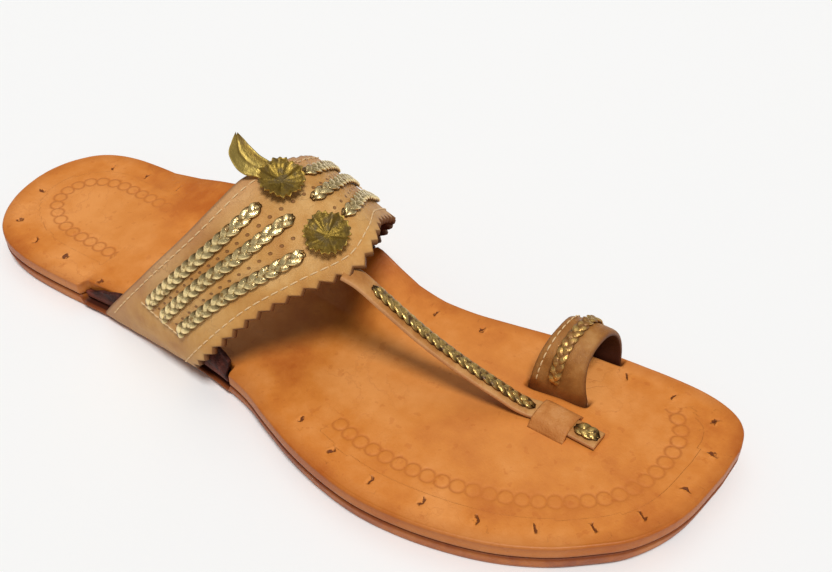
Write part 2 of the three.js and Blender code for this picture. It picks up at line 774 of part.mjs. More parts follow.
const toeLeather = 0xcf7f3c;
const edgeLeather = 0xb4622f;
const darkLeather = 0x6e3f28;
const strapLeather = 0xb98a5e;
const goldFoil = 0xc9b26a;
const oliveGold = 0x8c7a2c;
addPiece('outsole', toGeometry(outsole), edgeLeather, 0.7, 0);
addPiece('insole', toGeometry(insole), toeLeather, 0.6, 0);
addPiece('ear_lateral', earSolid('lateral'), darkLeather, 0.7, 0);
addPiece('ear_medial', earSolid('medial'), darkLeather, 0.7, 0);
addPiece('upper', toGeometry(upper), strapLeather, 0.6, 0);
addPiece('toe_ring', loopSheet(22, [0, 0.5, 1], 0, -loopThickness), strapLeather, 0.6, 0);
for (const row of braidRows) {
  addPiece(`vamp_braid_lateral_${row.name}`, vampBraid(row.lateral), goldFoil, 0.35, 0.8);
  addPiece(`vamp_braid_medial_${row.name}`, vampBraid(row.medial), goldFoil, 0.35, 0.8);
}
addPiece('toe_strap_braid', strapBraid(strapRoot.y + pinkDepth + 1, keeperStart - 1), goldFoil, 0.35, 0.8);
addPiece('tab_braid', strapBraid(keeperEnd + 1, tabEnd - 0.5), goldFoil, 0.35, 0.8);
addPiece('toe_ring_braid', loopBraid(), goldFoil, 0.35, 0.8);
for (const [name, place] of Object.entries(rosettePlaces)) {
  addPiece(`rosette_${name}`, rosette(place.around, place.along, place.base), oliveGold, 0.4, 0.6);
}
addPiece('leaf', leaf(rosettePlaces.back.around, rosettePlaces.back.along), oliveGold, 0.4, 0.6);

// The origin is on the floor, under the middle of the sandal
const box = new THREE.Box3().setFromObject(sandal);
const middle = box.getCenter(new THREE.Vector3());
sandal.position.set(-middle.x, -middle.y, -box.min.z);

export default sandal;
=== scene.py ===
import bmesh
import bpy
import numpy as np
from mathutils import Matrix, Vector


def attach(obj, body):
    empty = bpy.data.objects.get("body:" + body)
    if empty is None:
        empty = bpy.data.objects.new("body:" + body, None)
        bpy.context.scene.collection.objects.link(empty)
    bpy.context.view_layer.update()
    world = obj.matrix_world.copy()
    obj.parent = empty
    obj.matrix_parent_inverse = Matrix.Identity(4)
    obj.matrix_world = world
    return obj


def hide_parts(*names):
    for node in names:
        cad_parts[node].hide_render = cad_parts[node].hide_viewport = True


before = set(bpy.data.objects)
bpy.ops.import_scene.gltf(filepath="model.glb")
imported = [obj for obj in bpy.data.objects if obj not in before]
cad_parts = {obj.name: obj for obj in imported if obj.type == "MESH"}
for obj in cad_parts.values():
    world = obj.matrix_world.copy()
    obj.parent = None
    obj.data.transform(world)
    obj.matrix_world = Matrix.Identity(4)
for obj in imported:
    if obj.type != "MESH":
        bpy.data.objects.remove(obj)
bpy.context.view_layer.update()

# Studio: a plain pale floor, a pale room, a soft even light from the camera's side, a weak lamp above,
# and the camera over the toe, at the lateral side, looking down and back along the sandal.
floor_size = 6.0
floor_mesh = bpy.data.meshes.new("studio_floor")
floor_corners = [(-floor_size, -floor_size, 0), (floor_size, -floor_size, 0),
                 (floor_size, floor_size, 0), (-floor_size, floor_size, 0)]
floor_mesh.from_pydata(floor_corners, [], [(0, 1, 2, 3)])
floor = bpy.data.objects.new("studio_floor", floor_mesh)
bpy.context.collection.objects.link(floor)
floor_paint = bpy.data.materials.new("studio_paper")
floor_paint.use_nodes = True
paper = floor_paint.node_tree.nodes["Principled BSDF"]
paper.inputs["Base Color"].default_value = (0.92, 0.92, 0.915, 1)
paper.inputs["Roughness"].default_value = 0.9
paper.inputs["Specular IOR Level"].default_value = 0.1
floor_mesh.materials.append(floor_paint)

room = bpy.data.worlds.new("studio_room")
room.use_nodes = True
room.node_tree.nodes["Background"].inputs["Color"].default_value = (1.0, 0.99, 0.97, 1)
room.node_tree.nodes["Background"].inputs["Strength"].default_value = 0.24
bpy.context.scene.world = room
bpy.context.scene.view_settings.view_transform = "Standard"


def add_lamp(name, kind, place, power):
    """A lamp at place, turned so that it looks at the sandal."""
    lamp = bpy.data.lights.new(name, kind)
    lamp.energy = power
    holder = bpy.data.objects.new(name, lamp)
    turn = (-Vector(place)).to_track_quat("-Z", "Y").to_matrix().to_4x4()
    holder.matrix_world = Matrix.Translation(place) @ turn
    bpy.context.collection.objects.link(holder)
    return lamp


# the key light's size is the angle that it fills, in radians, and the lamp's is its side in metres
add_lamp("lamp_key", "SUN", (0.33, 0.345, 1.1), 2.3).angle = 0.28
add_lamp("lamp_top", "AREA", (-0.3, -0.2, 1.2), 2.0).size = 0.9

camera_data = bpy.data.cameras.new("camera")
camera_data.sensor_width = 36.0
camera_data.lens = 47.6
camera_data.clip_start = 0.01
camera = bpy.data.objects.new("camera", camera_data)
camera_right = Vector((-0.5903, 0.8072, 0.0))
camera_up = Vector((-0.5401, -0.3950, 0.7431))
camera_ahead = Vector((-0.5999, -0.4387, -0.6691))
camera_turn = Matrix((camera_right, camera_up, -camera_ahead)).transposed().to_4x4()
camera.matrix_world = Matrix.Translation((0.17423, 0.1664, 0.2394)) @ camera_turn
bpy.context.collection.objects.link(camera)
bpy.context.scene.camera = camera

# Outsole: 5.2 mm of vegetable-tanned leather, cut to the last's outline, with a sanded and
# burnished edge. Its top is pared to a ledge at the waist, where the ears and the vamp are sewn in.
last_to_part = np.array([2.43, -125.0, 0.0])
sole_length = 250.0
ball_width = 82.0
outsole_top = 5.2
side_draft = 0.9
# share of the length, medial edge and lateral edge as shares of the ball width
outline_rows = np.array([
    (0.0, -0.08, -0.02), (0.004, -0.145, 0.055), (0.012, -0.21, 0.13), (0.028, -0.285, 0.215),
    (0.05, -0.335, 0.283), (0.08, -0.368, 0.33), (0.12, -0.386, 0.352), (0.17, -0.396, 0.352),
    (0.22, -0.403, 0.342), (0.27, -0.405, 0.33), (0.33, -0.406, 0.324), (0.4, -0.412, 0.328),
    (0.46, -0.424, 0.34), (0.51, -0.425, 0.366), (0.55, -0.418, 0.408), (0.6, -0.412, 0.456),
    (0.65, -0.425, 0.487), (0.7, -0.46, 0.499), (0.75, -0.498, 0.484), (0.8, -0.528, 0.448),
    (0.85, -0.548, 0.391), (0.9, -0.558, 0.304), (0.935, -0.555, 0.215), (0.96, -0.538, 0.14),
    (0.98, -0.507, 0.04), (0.992, -0.465, -0.065), (1.0, -0.39, -0.26)])
# share of the length, then the medial edge's curl, the waist's hollow and the toe's spring in mm
bend_rows = np.array([
    (0.0, 0, 0, 0), (0.15, 0, 0, 0), (0.2, 2.7, 0, 0), (0.24, 5.8, 0.24, 0), (0.28, 8.55, 0.48, 0),
    (0.34, 9, 0.8, 0), (0.48, 9, 0.48, 0), (0.51, 7.7, 0.24, 0), (0.54, 4.3, 0, 0), (0.57, 1.4, 0, 0),
    (0.61, 0, 0, 0), (0.86, 0, 0, 0), (0.94, 0, 0, 0.68), (1.0, 0, 0, 1.5)])
curl_start = 0.3


def smooth_path(points, steps=24):
    """A curve through the points: between two of them it is a cubic whose end slopes come from the
    neighbours, each weighted by the square root of its distance."""
    points = np.asarray(points, float)
    ends = np.vstack([2 * points[0] - points[1], points, 2 * points[-1] - points[-2]])
    a, b, c, d = ends[:-3], ends[1:-2], ends[2:-1], ends[3:]
    spans = ((a, b), (b, c), (c, d))
    gap_ab, gap_bc, gap_cd = (np.sqrt(np.linalg.norm(q - p, axis=1, keepdims=True)) for p, q in spans)
    slope_b = ((b - a) / gap_ab - (c - a) / (gap_ab + gap_bc) + (c - b) / gap_bc) * gap_bc
    slope_c = ((c - b) / gap_bc - (d - b) / (gap_bc + gap_cd) + (d - c) / gap_cd) * gap_bc
    t = np.linspace(0, 1, steps, endpoint=False)[:, None, None]
    curve = ((2 * t ** 3 - 3 * t ** 2 + 1) * b + (t ** 3 - 2 * t ** 2 + t) * slope_b
             + (3 * t ** 2 - 2 * t ** 3) * c + (t ** 3 - t ** 2) * slope_c)
    return np.vstack([curve.transpose(1, 0, 2).reshape(-1, points.shape[1]), points[-1]])


def run_of(path):
    """Distance from the start of a path to each of its points."""
    return np.concatenate([[0.0], np.cumsum(np.linalg.norm(np.diff(path, axis=0), axis=1))])


def at_shares(path, shares):
    """Points of a path at shares of its length."""
    run = run_of(path)
    wanted = np.asarray(shares) * run[-1]
    return np.stack([np.interp(wanted, run, path[:, k]) for k in range(path.shape[1])], axis=-1)


def smooth_step(low, high, x):
    """0 below low, 1 above high, and a soft S between them."""
    t = np.clip((x - low) / (high - low), 0, 1)
    return t * t * (3 - 2 * t)


def unit(vectors):
    """Vectors divided by their lengths."""
    return vectors / np.maximum(np.linalg.norm(vectors, axis=-1, keepdims=True), 1e-12)


outline_path = smooth_path(outline_rows[:, [1, 0, 2]] * (ball_width, sole_length, ball_width))


def edge_x(y, side):
    """Place of the sole's medial or lateral edge at y."""
    return np.interp(y, outline_path[:, 1], outline_path[:, 0 if side == "medial" else 2])


def sole_rise(x, y):
    """Lift of the bent sole over its flat shape: the curl grows with the distance from the middle
    towards the medial edge, and the spring with the distance along the toe."""
    medial, lateral = edge_x(y, "medial"), edge_x(y, "lateral")
    middle = (medial + lateral) / 2
    out = np.clip((middle - x) / (middle - medial), curl_start, 1)
    share = (out - curl_start) / (1 - curl_start)
    return np.interp(y / sole_length, bend_rows[:, 0], bend_rows[:, 1]) * share + np.interp(
        y / sole_length, bend_rows[:, 0], bend_rows[:, 3])


def outline_ring(count):
    """Points round the sole's edge at even distances, and the directions that point inwards there."""
    medial = outline_path[:, [0, 1]]
    lateral = outline_path[::-1, [2, 1]]
    loop = np.vstack([medial, lateral, medial[:1]])
    ring = at_shares(loop, np.arange(count) / count)
    for _ in range(3):
        ring = 0.5 * ring + 0.25 * (np.roll(ring, 1, axis=0) + np.roll(ring, -1, axis=0))
    ahead = unit(np.roll(ring, -1, axis=0) - np.roll(ring, 1, axis=0))
    return ring, np.stack([ahead[:, 1], -ahead[:, 0]], axis=1)


# places along the sole where the ears are sewn in, medial and lateral, and their depth from the edge
ear_places = {"lateral": (0.225 * sole_length, 0.475 * sole_length),
              "medial": (0.27 * sole_length, 0.497 * sole_length)}
ear_inner = 3.2
seat_gap = 0.3


def waist_share(x, y):
    """1 beside the ears and 0 elsewhere, with soft ends."""
    share = np.zeros_like(y)
    for side, (back, front) in ear_places.items():
        here = smooth_step(back - 1.2, back + 0.2, y) * (1 - smooth_step(front - 0.2, front + 1.2, y))
        near = (x > 0) if side == "lateral" else (x < 0)
        share = np.maximum(share, here * near)
    return share


def set_values(layer, values, key="value"):
    """Writes a whole array into an attribute."""
    layer.data.foreach_set(key, np.ascontiguousarray(values, dtype=np.float32).ravel())


def sheet_object(name, points, wrap=False, values=None, maps=None):
    """A surface through a grid of points in mm, as rows and columns. wrap joins the last column to
    the first. values are numbers at the points, maps are flat coordinates at the points."""
    rows, columns = points.shape[:2]
    index = np.arange(rows * columns).reshape(rows, columns)
    left = index if wrap else index[:, :-1]
    right = np.roll(index, -1, axis=1) if wrap else index[:, 1:]
    quads = np.stack([left[:-1], right[:-1], right[1:], left[1:]], axis=-1).reshape(-1, 4)
    mesh = bpy.data.meshes.new(name)
    mesh.vertices.add(rows * columns)
    metres = (points.reshape(-1, 3) + last_to_part) * 0.001
    mesh.vertices.foreach_set("co", metres.astype(np.float32).ravel())
    mesh.loops.add(quads.size)
    mesh.loops.foreach_set("vertex_index", quads.ravel().astype(np.int32))
    mesh.polygons.add(len(quads))
    mesh.polygons.foreach_set("loop_start", np.arange(0, quads.size, 4, dtype=np.int32))
    mesh.polygons.foreach_set("use_smooth", np.ones(len(quads), dtype=bool))
    mesh.update(calc_edges=True)
    for key, numbers in (values or {}).items():
        set_values(mesh.attributes.new(key, "FLOAT", "POINT"), numbers)
    for key, flat in (maps or {}).items():
        layer = mesh.uv_layers.new(name=key)
        layer.data.foreach_set("uv", flat.reshape(-1, 2)[quads.ravel()].astype(np.float32).ravel())
    work = bmesh.new()
    work.from_mesh(mesh)
    bmesh.ops.remove_doubles(work, verts=work.verts, dist=2e-6)
    bmesh.ops.recalc_face_normals(work, faces=work.faces)
    work.to_mesh(mesh)
    work.free()
    piece = bpy.data.objects.new(name, mesh)
    bpy.context.collection.objects.link(piece)
    return piece


def sole_grid(count, profile, trim):
    """Rings round the sole. A profile row is the share of the way to the middle line, the inset from
    the edge and the height; trim moves the edge in beside the ears."""
    ring, inward = outline_ring(count)
    waist = waist_share(ring[:, 0], ring[:, 1])
    middle_y = np.clip(ring[:, 1], 40, 205)
    middle = np.stack([(edge_x(middle_y, "medial") + edge_x(middle_y, "lateral")) / 2, middle_y], axis=1)
    rows = []
    for to_middle, inset, height in profile:
        start = ring + inward * np.where(waist > 0, np.maximum(inset, inset + trim * waist), inset)[:, None]
        flat = start + (middle - start) * to_middle
        z = height(flat[:, 1], waist) if callable(height) else np.full(count, float(height))
        rows.append(np.column_stack([flat, z + sole_rise(flat[:, 0], flat[:, 1])]))
    return np.array(rows)


def linear(red, green, blue):
    """A colour on the eye's scale of 0 to 255 as the shader's light values."""
    part = np.array([red, green, blue]) / 255.0
    return tuple(np.where(part <= 0.04045, part / 12.92, ((part + 0.055) / 1.055) ** 2.4)) + (1.0,)


class Signal:
    """A number that flows through a tree of nodes. Each sum, product or limit adds a Math node."""

    def __init__(self, tree, socket):
        self.tree = tree
        self.socket = socket

    def feed(self, socket):
        self.tree.links.new(self.socket, socket)

    def step(self, operation, *terms):
        node = self.tree.nodes.new("ShaderNodeMath")
        node.operation = operation
        for socket, term in zip(node.inputs, terms):
            if isinstance(term, Signal):
                term.feed(socket)
            else:
                socket.default_value = term
        return Signal(self.tree, node.outputs[0])

    def __add__(self, term):
        return self.step("ADD", self, term)

    def __sub__(self, term):
        return self.step("SUBTRACT", self, term)

    def __rsub__(self, term):
        return self.step("SUBTRACT", term, self)

    def __mul__(self, term):
        return self.step("MULTIPLY", self, term)

    def __pow__(self, term):
        return self.step("POWER", self, term)

    def __abs__(self):
        return self.step("ABSOLUTE", self)

    def root(self):
        return self.step("SQRT", self)

    def fraction(self):
        return self.step("FRACT", self)

    def above(self, limit):
        return self.step("GREATER_THAN", self, limit)

    def at_least(self, low):
        return self.step("MAXIMUM", self, low)

    def at_most(self, high):
        return self.step("MINIMUM", self, high)


def object_noise(tree, scale, detail, roughness):
    """Fractal noise in the part's own space. scale is a number or a signal, per metre."""
    node = tree.nodes.new("ShaderNodeTexNoise")
    node.inputs["Detail"].default_value = detail
    node.inputs["Roughness"].default_value = roughness
    tree.links.new(tree.nodes.new("ShaderNodeTexCoord").outputs["Object"], node.inputs["Vector"])
    if isinstance(scale, Signal):
        scale.feed(node.inputs["Scale"])
    else:
        node.inputs["Scale"].default_value = scale
    return Signal(tree, node.outputs["Fac"])


def hide_group():
    """Node group of tanned leather: blotches of tone, a pebbled grain height, fine dark pores, and
    creases where a noise crosses its middle value."""
    group = bpy.data.node_groups.new("tanned_hide", "ShaderNodeTree")
    for name in ("Blotch Scale", "Grain Scale"):
        group.interface.new_socket(name=name, in_out="INPUT", socket_type="NodeSocketFloat")
    for name in ("Blotch", "Grain", "Pores", "Creases"):
        group.interface.new_socket(name=name, in_out="OUTPUT", socket_type="NodeSocketFloat")
    start = group.nodes.new("NodeGroupInput")
    end = group.nodes.new("NodeGroupOutput")
    blotch_scale = Signal(group, start.outputs["Blotch Scale"])
    grain_scale = Signal(group, start.outputs["Grain Scale"])
    blotch = object_noise(group, blotch_scale, 5.0, 0.62)
    cells = group.nodes.new("ShaderNodeTexVoronoi")
    cells.feature = "DISTANCE_TO_EDGE"
    group.links.new(group.nodes.new("ShaderNodeTexCoord").outputs["Object"], cells.inputs["Vector"])
    grain_scale.feed(cells.inputs["Scale"])
    pebble = (Signal(group, cells.outputs["Distance"]) * 3.0).at_most(1.0)
    fine = object_noise(group, grain_scale * 0.6, 3.0, 0.6)
    pores = object_noise(group, grain_scale * 0.35, 2.0, 0.5)
    fold = object_noise(group, blotch_scale * 2.6, 4.0, 0.55)
    crease_line = (1.0 - abs(fold - 0.5) * 48.0).at_least(0.0)
    crease_patch = ((blotch - 0.5) * 7.0).at_least(0.0)
    blotch.feed(end.inputs["Blotch"])
    (pebble * 0.55 + fine * 0.6).feed(end.inputs["Grain"])
    pores.above(0.66).feed(end.inputs["Pores"])
    (crease_line * crease_patch).at_most(1.0).feed(end.inputs["Creases"])
    return group


hide = hide_group()


def hide_signals(tree, blotch_scale, grain_scale):
    """The leather group in a material, as its blotches, grain, pores and creases."""
    node = tree.nodes.new("ShaderNodeGroup")
    node.node_tree = hide
    node.inputs["Blotch Scale"].default_value = blotch_scale
    node.inputs["Grain Scale"].default_value = grain_scale
    return [Signal(tree, node.outputs[name]) for name in ("Blotch", "Grain", "Pores", "Creases")]


def attribute_signal(tree, name):
    """The value of one of the mesh's attributes."""
    node = tree.nodes.new("ShaderNodeAttribute")
    node.attribute_name = name
    return Signal(tree, node.outputs["Fac"])


def tinted(tree, under, factor, tone):
    """A colour, given as a socket or as light values, turned towards tone by factor."""
    mix = tree.nodes.new("ShaderNodeMix")
    mix.data_type = "RGBA"
    factor.feed(mix.inputs["Factor"])
    if isinstance(under, tuple):
        mix.inputs[6].default_value = under
    else:
        tree.links.new(under, mix.inputs[6])
    mix.inputs[7].default_value = linear(*tone)
    return mix.outputs[2]


def relief(tree, shader):
    """The height socket of a bump in millimetres under the shader."""
    bump = tree.nodes.new("ShaderNodeBump")
    bump.inputs["Strength"].default_value = 1.0
    bump.inputs["Distance"].default_value = 0.001
    tree.links.new(bump.outputs["Normal"], shader.inputs["Normal"])
    return bump.inputs["Height"]


class Leather:
    """A leather finish: three tones spread by the blotches, and a grain that roughens it. stain lays
    a colour over it where a mask says so, and press adds a height to its grain."""

    def __init__(self, name, tones, roughness, blotch_scale, grain_scale, grain_depth):
        self.material = bpy.data.materials.new(name)
        self.material.use_nodes = True
        self.tree = self.material.node_tree
        self.shader = self.tree.nodes["Principled BSDF"]
        self.shader.inputs["Specular IOR Level"].default_value = 0.27
        self.blotch, grain, self.pores, self.creases = hide_signals(self.tree, blotch_scale, grain_scale)
        ramp = self.tree.nodes.new("ShaderNodeValToRGB")
        ramp.color_ramp.elements[0].position = 0.36
        ramp.color_ramp.elements[1].position = 0.66
        ramp.color_ramp.elements.new(0.5)
        for element, tone in zip(ramp.color_ramp.elements, tones):
            element.color = linear(*tone)
        self.blotch.feed(ramp.inputs["Fac"])
        self.colour = ramp.outputs["Color"]
        self.height = grain * grain_depth
        (self.blotch * 0.16 + (roughness - 0.08)).feed(self.shader.inputs["Roughness"])
        self.height_socket = relief(self.tree, self.shader)
        self.settle()

    def settle(self):
        self.tree.links.new(self.colour, self.shader.inputs["Base Color"])
        self.height.feed(self.height_socket)

    def value(self, name):
        return attribute_signal(self.tree, name)

    def map(self, name):
        node = self.tree.nodes.new("ShaderNodeUVMap")
        node.uv_map = name
        parts = self.tree.nodes.new("ShaderNodeSeparateXYZ")
        self.tree.links.new(node.outputs["UV"], parts.inputs[0])
        return Signal(self.tree, parts.outputs["X"]), Signal(self.tree, parts.outputs["Y"])

    def stain(self, mask, tone, strength=1.0):
        self.colour = tinted(self.tree, self.colour, mask * strength, tone)
        self.settle()

    def press(self, mask, depth):
        self.height = self.height + mask * depth
        self.settle()


def finish_piece(piece, material, nodes):
    """Gives a piece its material and body, and hides the CAD nodes that it stands for."""
    piece.data.materials.clear()
    piece.data.materials.append(material)
    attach(piece, "root")
    if nodes:
        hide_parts(*nodes)


ledge_depth = 2.4
outsole_foot = 0.9


def outsole_under(y, waist):
    """Height of the outsole's underside: the hollow under the waist, the same at the ledges."""
    return np.interp(y / sole_length, bend_rows[:, 0], bend_rows[:, 2])


def outsole_over(drop, down=0.0):
    """Height of a line that runs drop below the outsole's top, which is pared beside the ears. down
    is the share of the way from there to the foot of its side."""
    def height(y, waist):
        return (outsole_top - ledge_depth * waist - drop) * (1 - down) + outsole_foot * down
    return height


edge_lines = ((3.0, 0.0), (1.2, 0.0), (0.45, 0.02), (0.1, 0.35))
outsole_profile = [(to_middle, 6.0, outsole_top) for to_middle in (1.0, 0.5, 0.12)]
outsole_profile += [(0.0, 9.0, outsole_top)]
outsole_profile += [(0.0, inset, outsole_over(drop)) for inset, drop in edge_lines]
outsole_profile += [(0.0, side_draft * down, outsole_over(0.6, down)) for down in (0.05, 0.3, 0.6, 0.9)]
outsole_profile += [(0.0, side_draft + 0.25, 0.3), (0.0, side_draft + 0.9, outsole_under)]
outsole_profile += [(to_middle, 6.0, outsole_under) for to_middle in (0.0, 0.3, 0.7, 1.0)]
outsole_count = 900
outsole_points = sole_grid(outsole_count, outsole_profile, 0.0)
# how dark each row of the profile is, and the rows that lie on the ledge
seam_rows = np.array([0, 0, 0, 0, 0, 0.4, 1.0, 0.8, 0.35, 0.05, 0, 0.1, 0.5, 0.6, 0, 0, 0, 0])[:, None]
ledge_rows = np.isin(np.arange(len(outsole_profile)), (2, 3, 4, 5))[:, None]
outsole_waist = waist_share(outsole_points[6, :, 0], outsole_points[6, :, 1])
outsole = sheet_object("outsole_leather", outsole_points, wrap=True, values={
    "seam": np.tile(seam_rows, (1, outsole_count)), "ledge": ledge_rows * outsole_waist[None]})
outsole_tones = ((158, 76, 20), (188, 102, 32), (208, 126, 52))
outsole_finish = Leather("outsole_burnished", outsole_tones, 0.5, 70.0, 1400.0, 0.09)
outsole_finish.stain(outsole_finish.value("seam"), (92, 36, 14), 0.8)
# the pared ledge beside the ears is painted near black: painted shade in the gap under the ear and beside the
# insole
outsole_finish.stain(outsole_finish.value("ledge"), (58, 22, 14), 0.95)
finish_piece(outsole, outsole_finish.material, ["outsole"])

# Insole: 4.5 mm of vegetable-tanned leather with a waxed face and a burnished edge. A chain of
# small rings is stamped round the forefoot and the heel, and thongs are drawn through short slits
# all round, to hold the two layers together.
insole_bottom = 5.5
insole_top = 10.0
insole_round = 0.8
chain_pitch = 4.25
chain_rings = 0.5
chain_paths = [
    [(23.3, 155.5), (25.2, 164), (25.4, 177), (23.6, 190), (20.2, 201.5), (15.2, 212.5), (8.6, 222.5),
     (1.2, 230),
     (-8.0, 234.2), (-18.0, 235.6), (-28.0, 234.2), (-35.0, 228.5)],
    [(-15.7, 52.0), (-16.4, 38.4), (-15.4, 25.0), (-11.5, 18.0), (-4.5, 14.8), (3.0, 16.8), (8.0, 22.8),
     (10.9, 31.5), (11.1, 42.4), (11.0, 54.0)]]
# slits: x, y, turn from square to the edge in degrees, length
slit_rows = np.array([
    (28.8, 147.9, 8, 3.2), (32.6, 161.8, -10, 3.6), (34.1, 176.1, 6, 3.8), (31.6, 191.0, -6, 4.0),
    (28.1, 205.3, 12, 4.2), (21.5, 218.9, 0, 4.2), (12.9, 230.6, 14, 4.4), (2.8, 238.8, -8, 4.4),
    (-10.8, 244.1, 6, 4.0), (-25.4, 244.6, -10, 4.2), (-36.7, 239.9, 8, 3.8), (-38.8, 226.6, -8, 3.6),
    (-38.3, 212.3, 10, 4.0), (-27.5, 153.1, 4, 3.8), (-30.1, 168.5, -6, 3.8), (2.8, 8.0, 10, 3.4),
    (17.7, 14.8, -8, 3.6), (21.4, 27.5, 8, 3.8), (21.0, 41.7, -6, 3.6), (22.6, 60.0, 4, 3.2),
    (-21.3, 17.2, 8, 3.8), (-24.6, 30.8, -10, 3.8), (-24.9, 45.9, 6, 3.6)])


def insole_profile_rows():
    """From the middle line out to the rim, over its rounding, down the side and back underneath."""
    rows = [(share, 5.0, insole_top) for share in np.linspace(1, 0, 42)]
    rows += [(0.0, inset, insole_top) for inset in np.linspace(4.6, insole_round, 9)]
    turn = np.linspace(0, np.pi / 2, 7)[1:]
    rows += [(0.0, insole_round * (1 - np.sin(a)), insole_top - insole_round * (1 - np.cos(a))) for a in turn]
    rows += [(0.0, 0.03, 8.2), (0.0, 0.0, 7.4), (0.0, 0.02, 6.6), (0.0, 0.1, 6.0), (0.0, 0.35, 5.62)]
    rows += [(0.0, 0.8, insole_bottom)]
    return rows + [(to_middle, 6.0, insole_bottom) for to_middle in (0.0, 0.5, 1.0)]


insole_rows = insole_profile_rows()
insole_count = 1080
insole_points = sole_grid(insole_count, insole_rows, ear_inner + seat_gap)
top_rows = 51
flat_places = insole_points[:, :, :2]


def nearest_on(path, places):
    """For each place: its run along the path and its distance to the side of it."""
    run = run_of(path)
    ahead = unit(np.gradient(path, axis=0))
    flat = places.reshape(-1, 2)
    best = np.concatenate([np.argmin(((part[:, None, :] - path[None]) ** 2).sum(-1), axis=1)
                           for part in np.array_split(flat, 24)])
    offset = flat - path[best]
    across = ahead[best, 0] * offset[:, 1] - ahead[best, 1] * offset[:, 0]
    beyond = (offset * ahead[best]).sum(-1)
    return (run[best] + beyond).reshape(places.shape[:2]), across.reshape(places.shape[:2])


chain_map = np.full(flat_places.shape, 9.0)
for rows in chain_paths:
    path = at_shares(smooth_path(rows), np.linspace(0, 1, 260))
    run, across = nearest_on(path, flat_places)
    inside = (run > 0) & (run < run_of(path)[-1]) & (np.abs(across) < 1.4 * chain_pitch)
    chain_map[inside] = np.stack([run / chain_pitch, across / chain_pitch], axis=-1)[inside]
ring_far = np.hypot(np.mod(chain_map[..., 0], 1) - 0.5, chain_map[..., 1])
chain_dent = np.exp(-((ring_far - chain_rings) / 0.09) ** 2) * (np.abs(chain_map[..., 1]) < 1)

edge_points, edge_inward = outline_ring(720)
slit_map = np.full(flat_places.shape, 9.0)
slit_cut = np.zeros(flat_places.shape[:2])
slit_lip = np.zeros(flat_places.shape[:2])
for x, y, turn, length in slit_rows:
    near = np.argmin(((edge_points - (x, y)) ** 2).sum(1))
    angle = np.arctan2(edge_inward[near, 1], edge_inward[near, 0]) + np.radians(turn)
    offset = flat_places - (x, y)
    lengthways = offset[..., 0] * np.cos(angle) + offset[..., 1] * np.sin(angle)
    sideways = offset[..., 1] * np.cos(angle) - offset[..., 0] * np.sin(angle)
    inside = (np.abs(lengthways) < length) & (np.abs(sideways) < 3)
    slit_map[inside] = np.stack([lengthways / length, sideways / 3], axis=-1)[inside]
    within = 1 - smooth_step(0.3 * length, 0.46 * length, np.abs(lengthways))
    slit_cut += within * np.exp(-(sideways / 0.42) ** 2)
    slit_lip += within * np.exp(-((sideways - 0.95) / 0.5) ** 2)

on_top = (np.arange(len(insole_rows)) < top_rows)[:, None]
wave_x, wave_y = flat_places[..., 0], flat_places[..., 1]
footbed_wave = 0.16 * np.sin(wave_x / 9.0 + 0.6 * np.sin(wave_y / 17)) * np.sin(wave_y / 14.0 + 1.1) - 0.1
clear_of_keeper = 1 - np.exp(-(((wave_x + 11.5) / 9) ** 2 + ((wave_y - 207) / 14) ** 2))
stamped = 0.3 * slit_lip - 0.2 * chain_dent - 0.45 * slit_cut
insole_points[..., 2] += on_top * (footbed_wave * clear_of_keeper + stamped)

# slots for the toe ring's two ends, sunk into the insole and painted dark as painted shade in their openings
ring_middle_x = -0.382 * ball_width
ring_back = 0.765 * sole_length
ring_length = 16.8
ring_span = 22.0
ring_skew = -0.14
ring_wall = 2.0
slot_dark = np.zeros(flat_places.shape[:2])
for side in (1, -1):
    y_off = wave_y - (ring_back + ring_length / 2)
    x_off = wave_x - (ring_middle_x + side * (ring_span - ring_wall) / 2 + ring_skew * y_off)
    beside = smooth_step(1.0, 1.9, np.abs(x_off))
    beyond = smooth_step(ring_length / 2, ring_length / 2 + 1.6, np.abs(y_off))
    slot_dark += (1 - beside) * (1 - beyond)
insole_points[..., 2] -= on_top * 2.2 * slot_dark

rim_share = np.zeros(len(insole_rows))
rim_share[42:51] = np.linspace(0, 0.35, 9)
rim_share[51:57] = np.linspace(0.4, 0.75, 6)
rim_share[57:63] = (0.55, 0.45, 0.5, 0.7, 1.0, 1.0)
insole_rim = np.tile(rim_share[:, None], (1, insole_count))
ball_worn = np.exp(-(((wave_x + 4) / 30) ** 2 + ((wave_y - 190) / 46) ** 2))
heel_worn = np.exp(-(((wave_x + 2) / 20) ** 2 + ((wave_y - 36) / 26) ** 2))
insole = sheet_object(
    "insole_leather", insole_points, wrap=True,
    values={"rim": insole_rim, "slot": slot_dark * on_top, "worn": (ball_worn + heel_worn) * on_top},
    maps={"chain": chain_map, "slit": slit_map})
insole_tones = ((188, 98, 28), (212, 126, 48), (230, 150, 78))
insole_finish = Leather("insole_waxed", insole_tones, 0.42, 34.0, 900.0, 0.05)
insole_finish.stain(insole_finish.value("worn"), (226, 150, 78), 0.45)
insole_finish.stain(insole_finish.pores, (176, 84, 26), 0.2)
# the creases are painted darker: painted shade in them
insole_finish.stain(insole_finish.creases, (150, 62, 14), 0.13)
insole_finish.press(insole_finish.creases, -0.05)
# the chain's rings: a soft dark line where the distance from a ring's middle is its radius
chain_u, chain_v = insole_finish.map("chain")
ring_x = chain_u.fraction() - 0.5
ring_distance = (ring_x * ring_x + chain_v * chain_v).root()
ring_line = (1.0 - abs(ring_distance - chain_rings) * 7.0).at_least(0.0)
chain_fade = ((insole_finish.blotch - 0.36) * 5.0).at_least(0.25).at_most(1.0)
ring_mask = ring_line * chain_fade
insole_finish.stain(ring_mask, (156, 74, 20), 0.5)
insole_finish.press(ring_mask, -0.12)
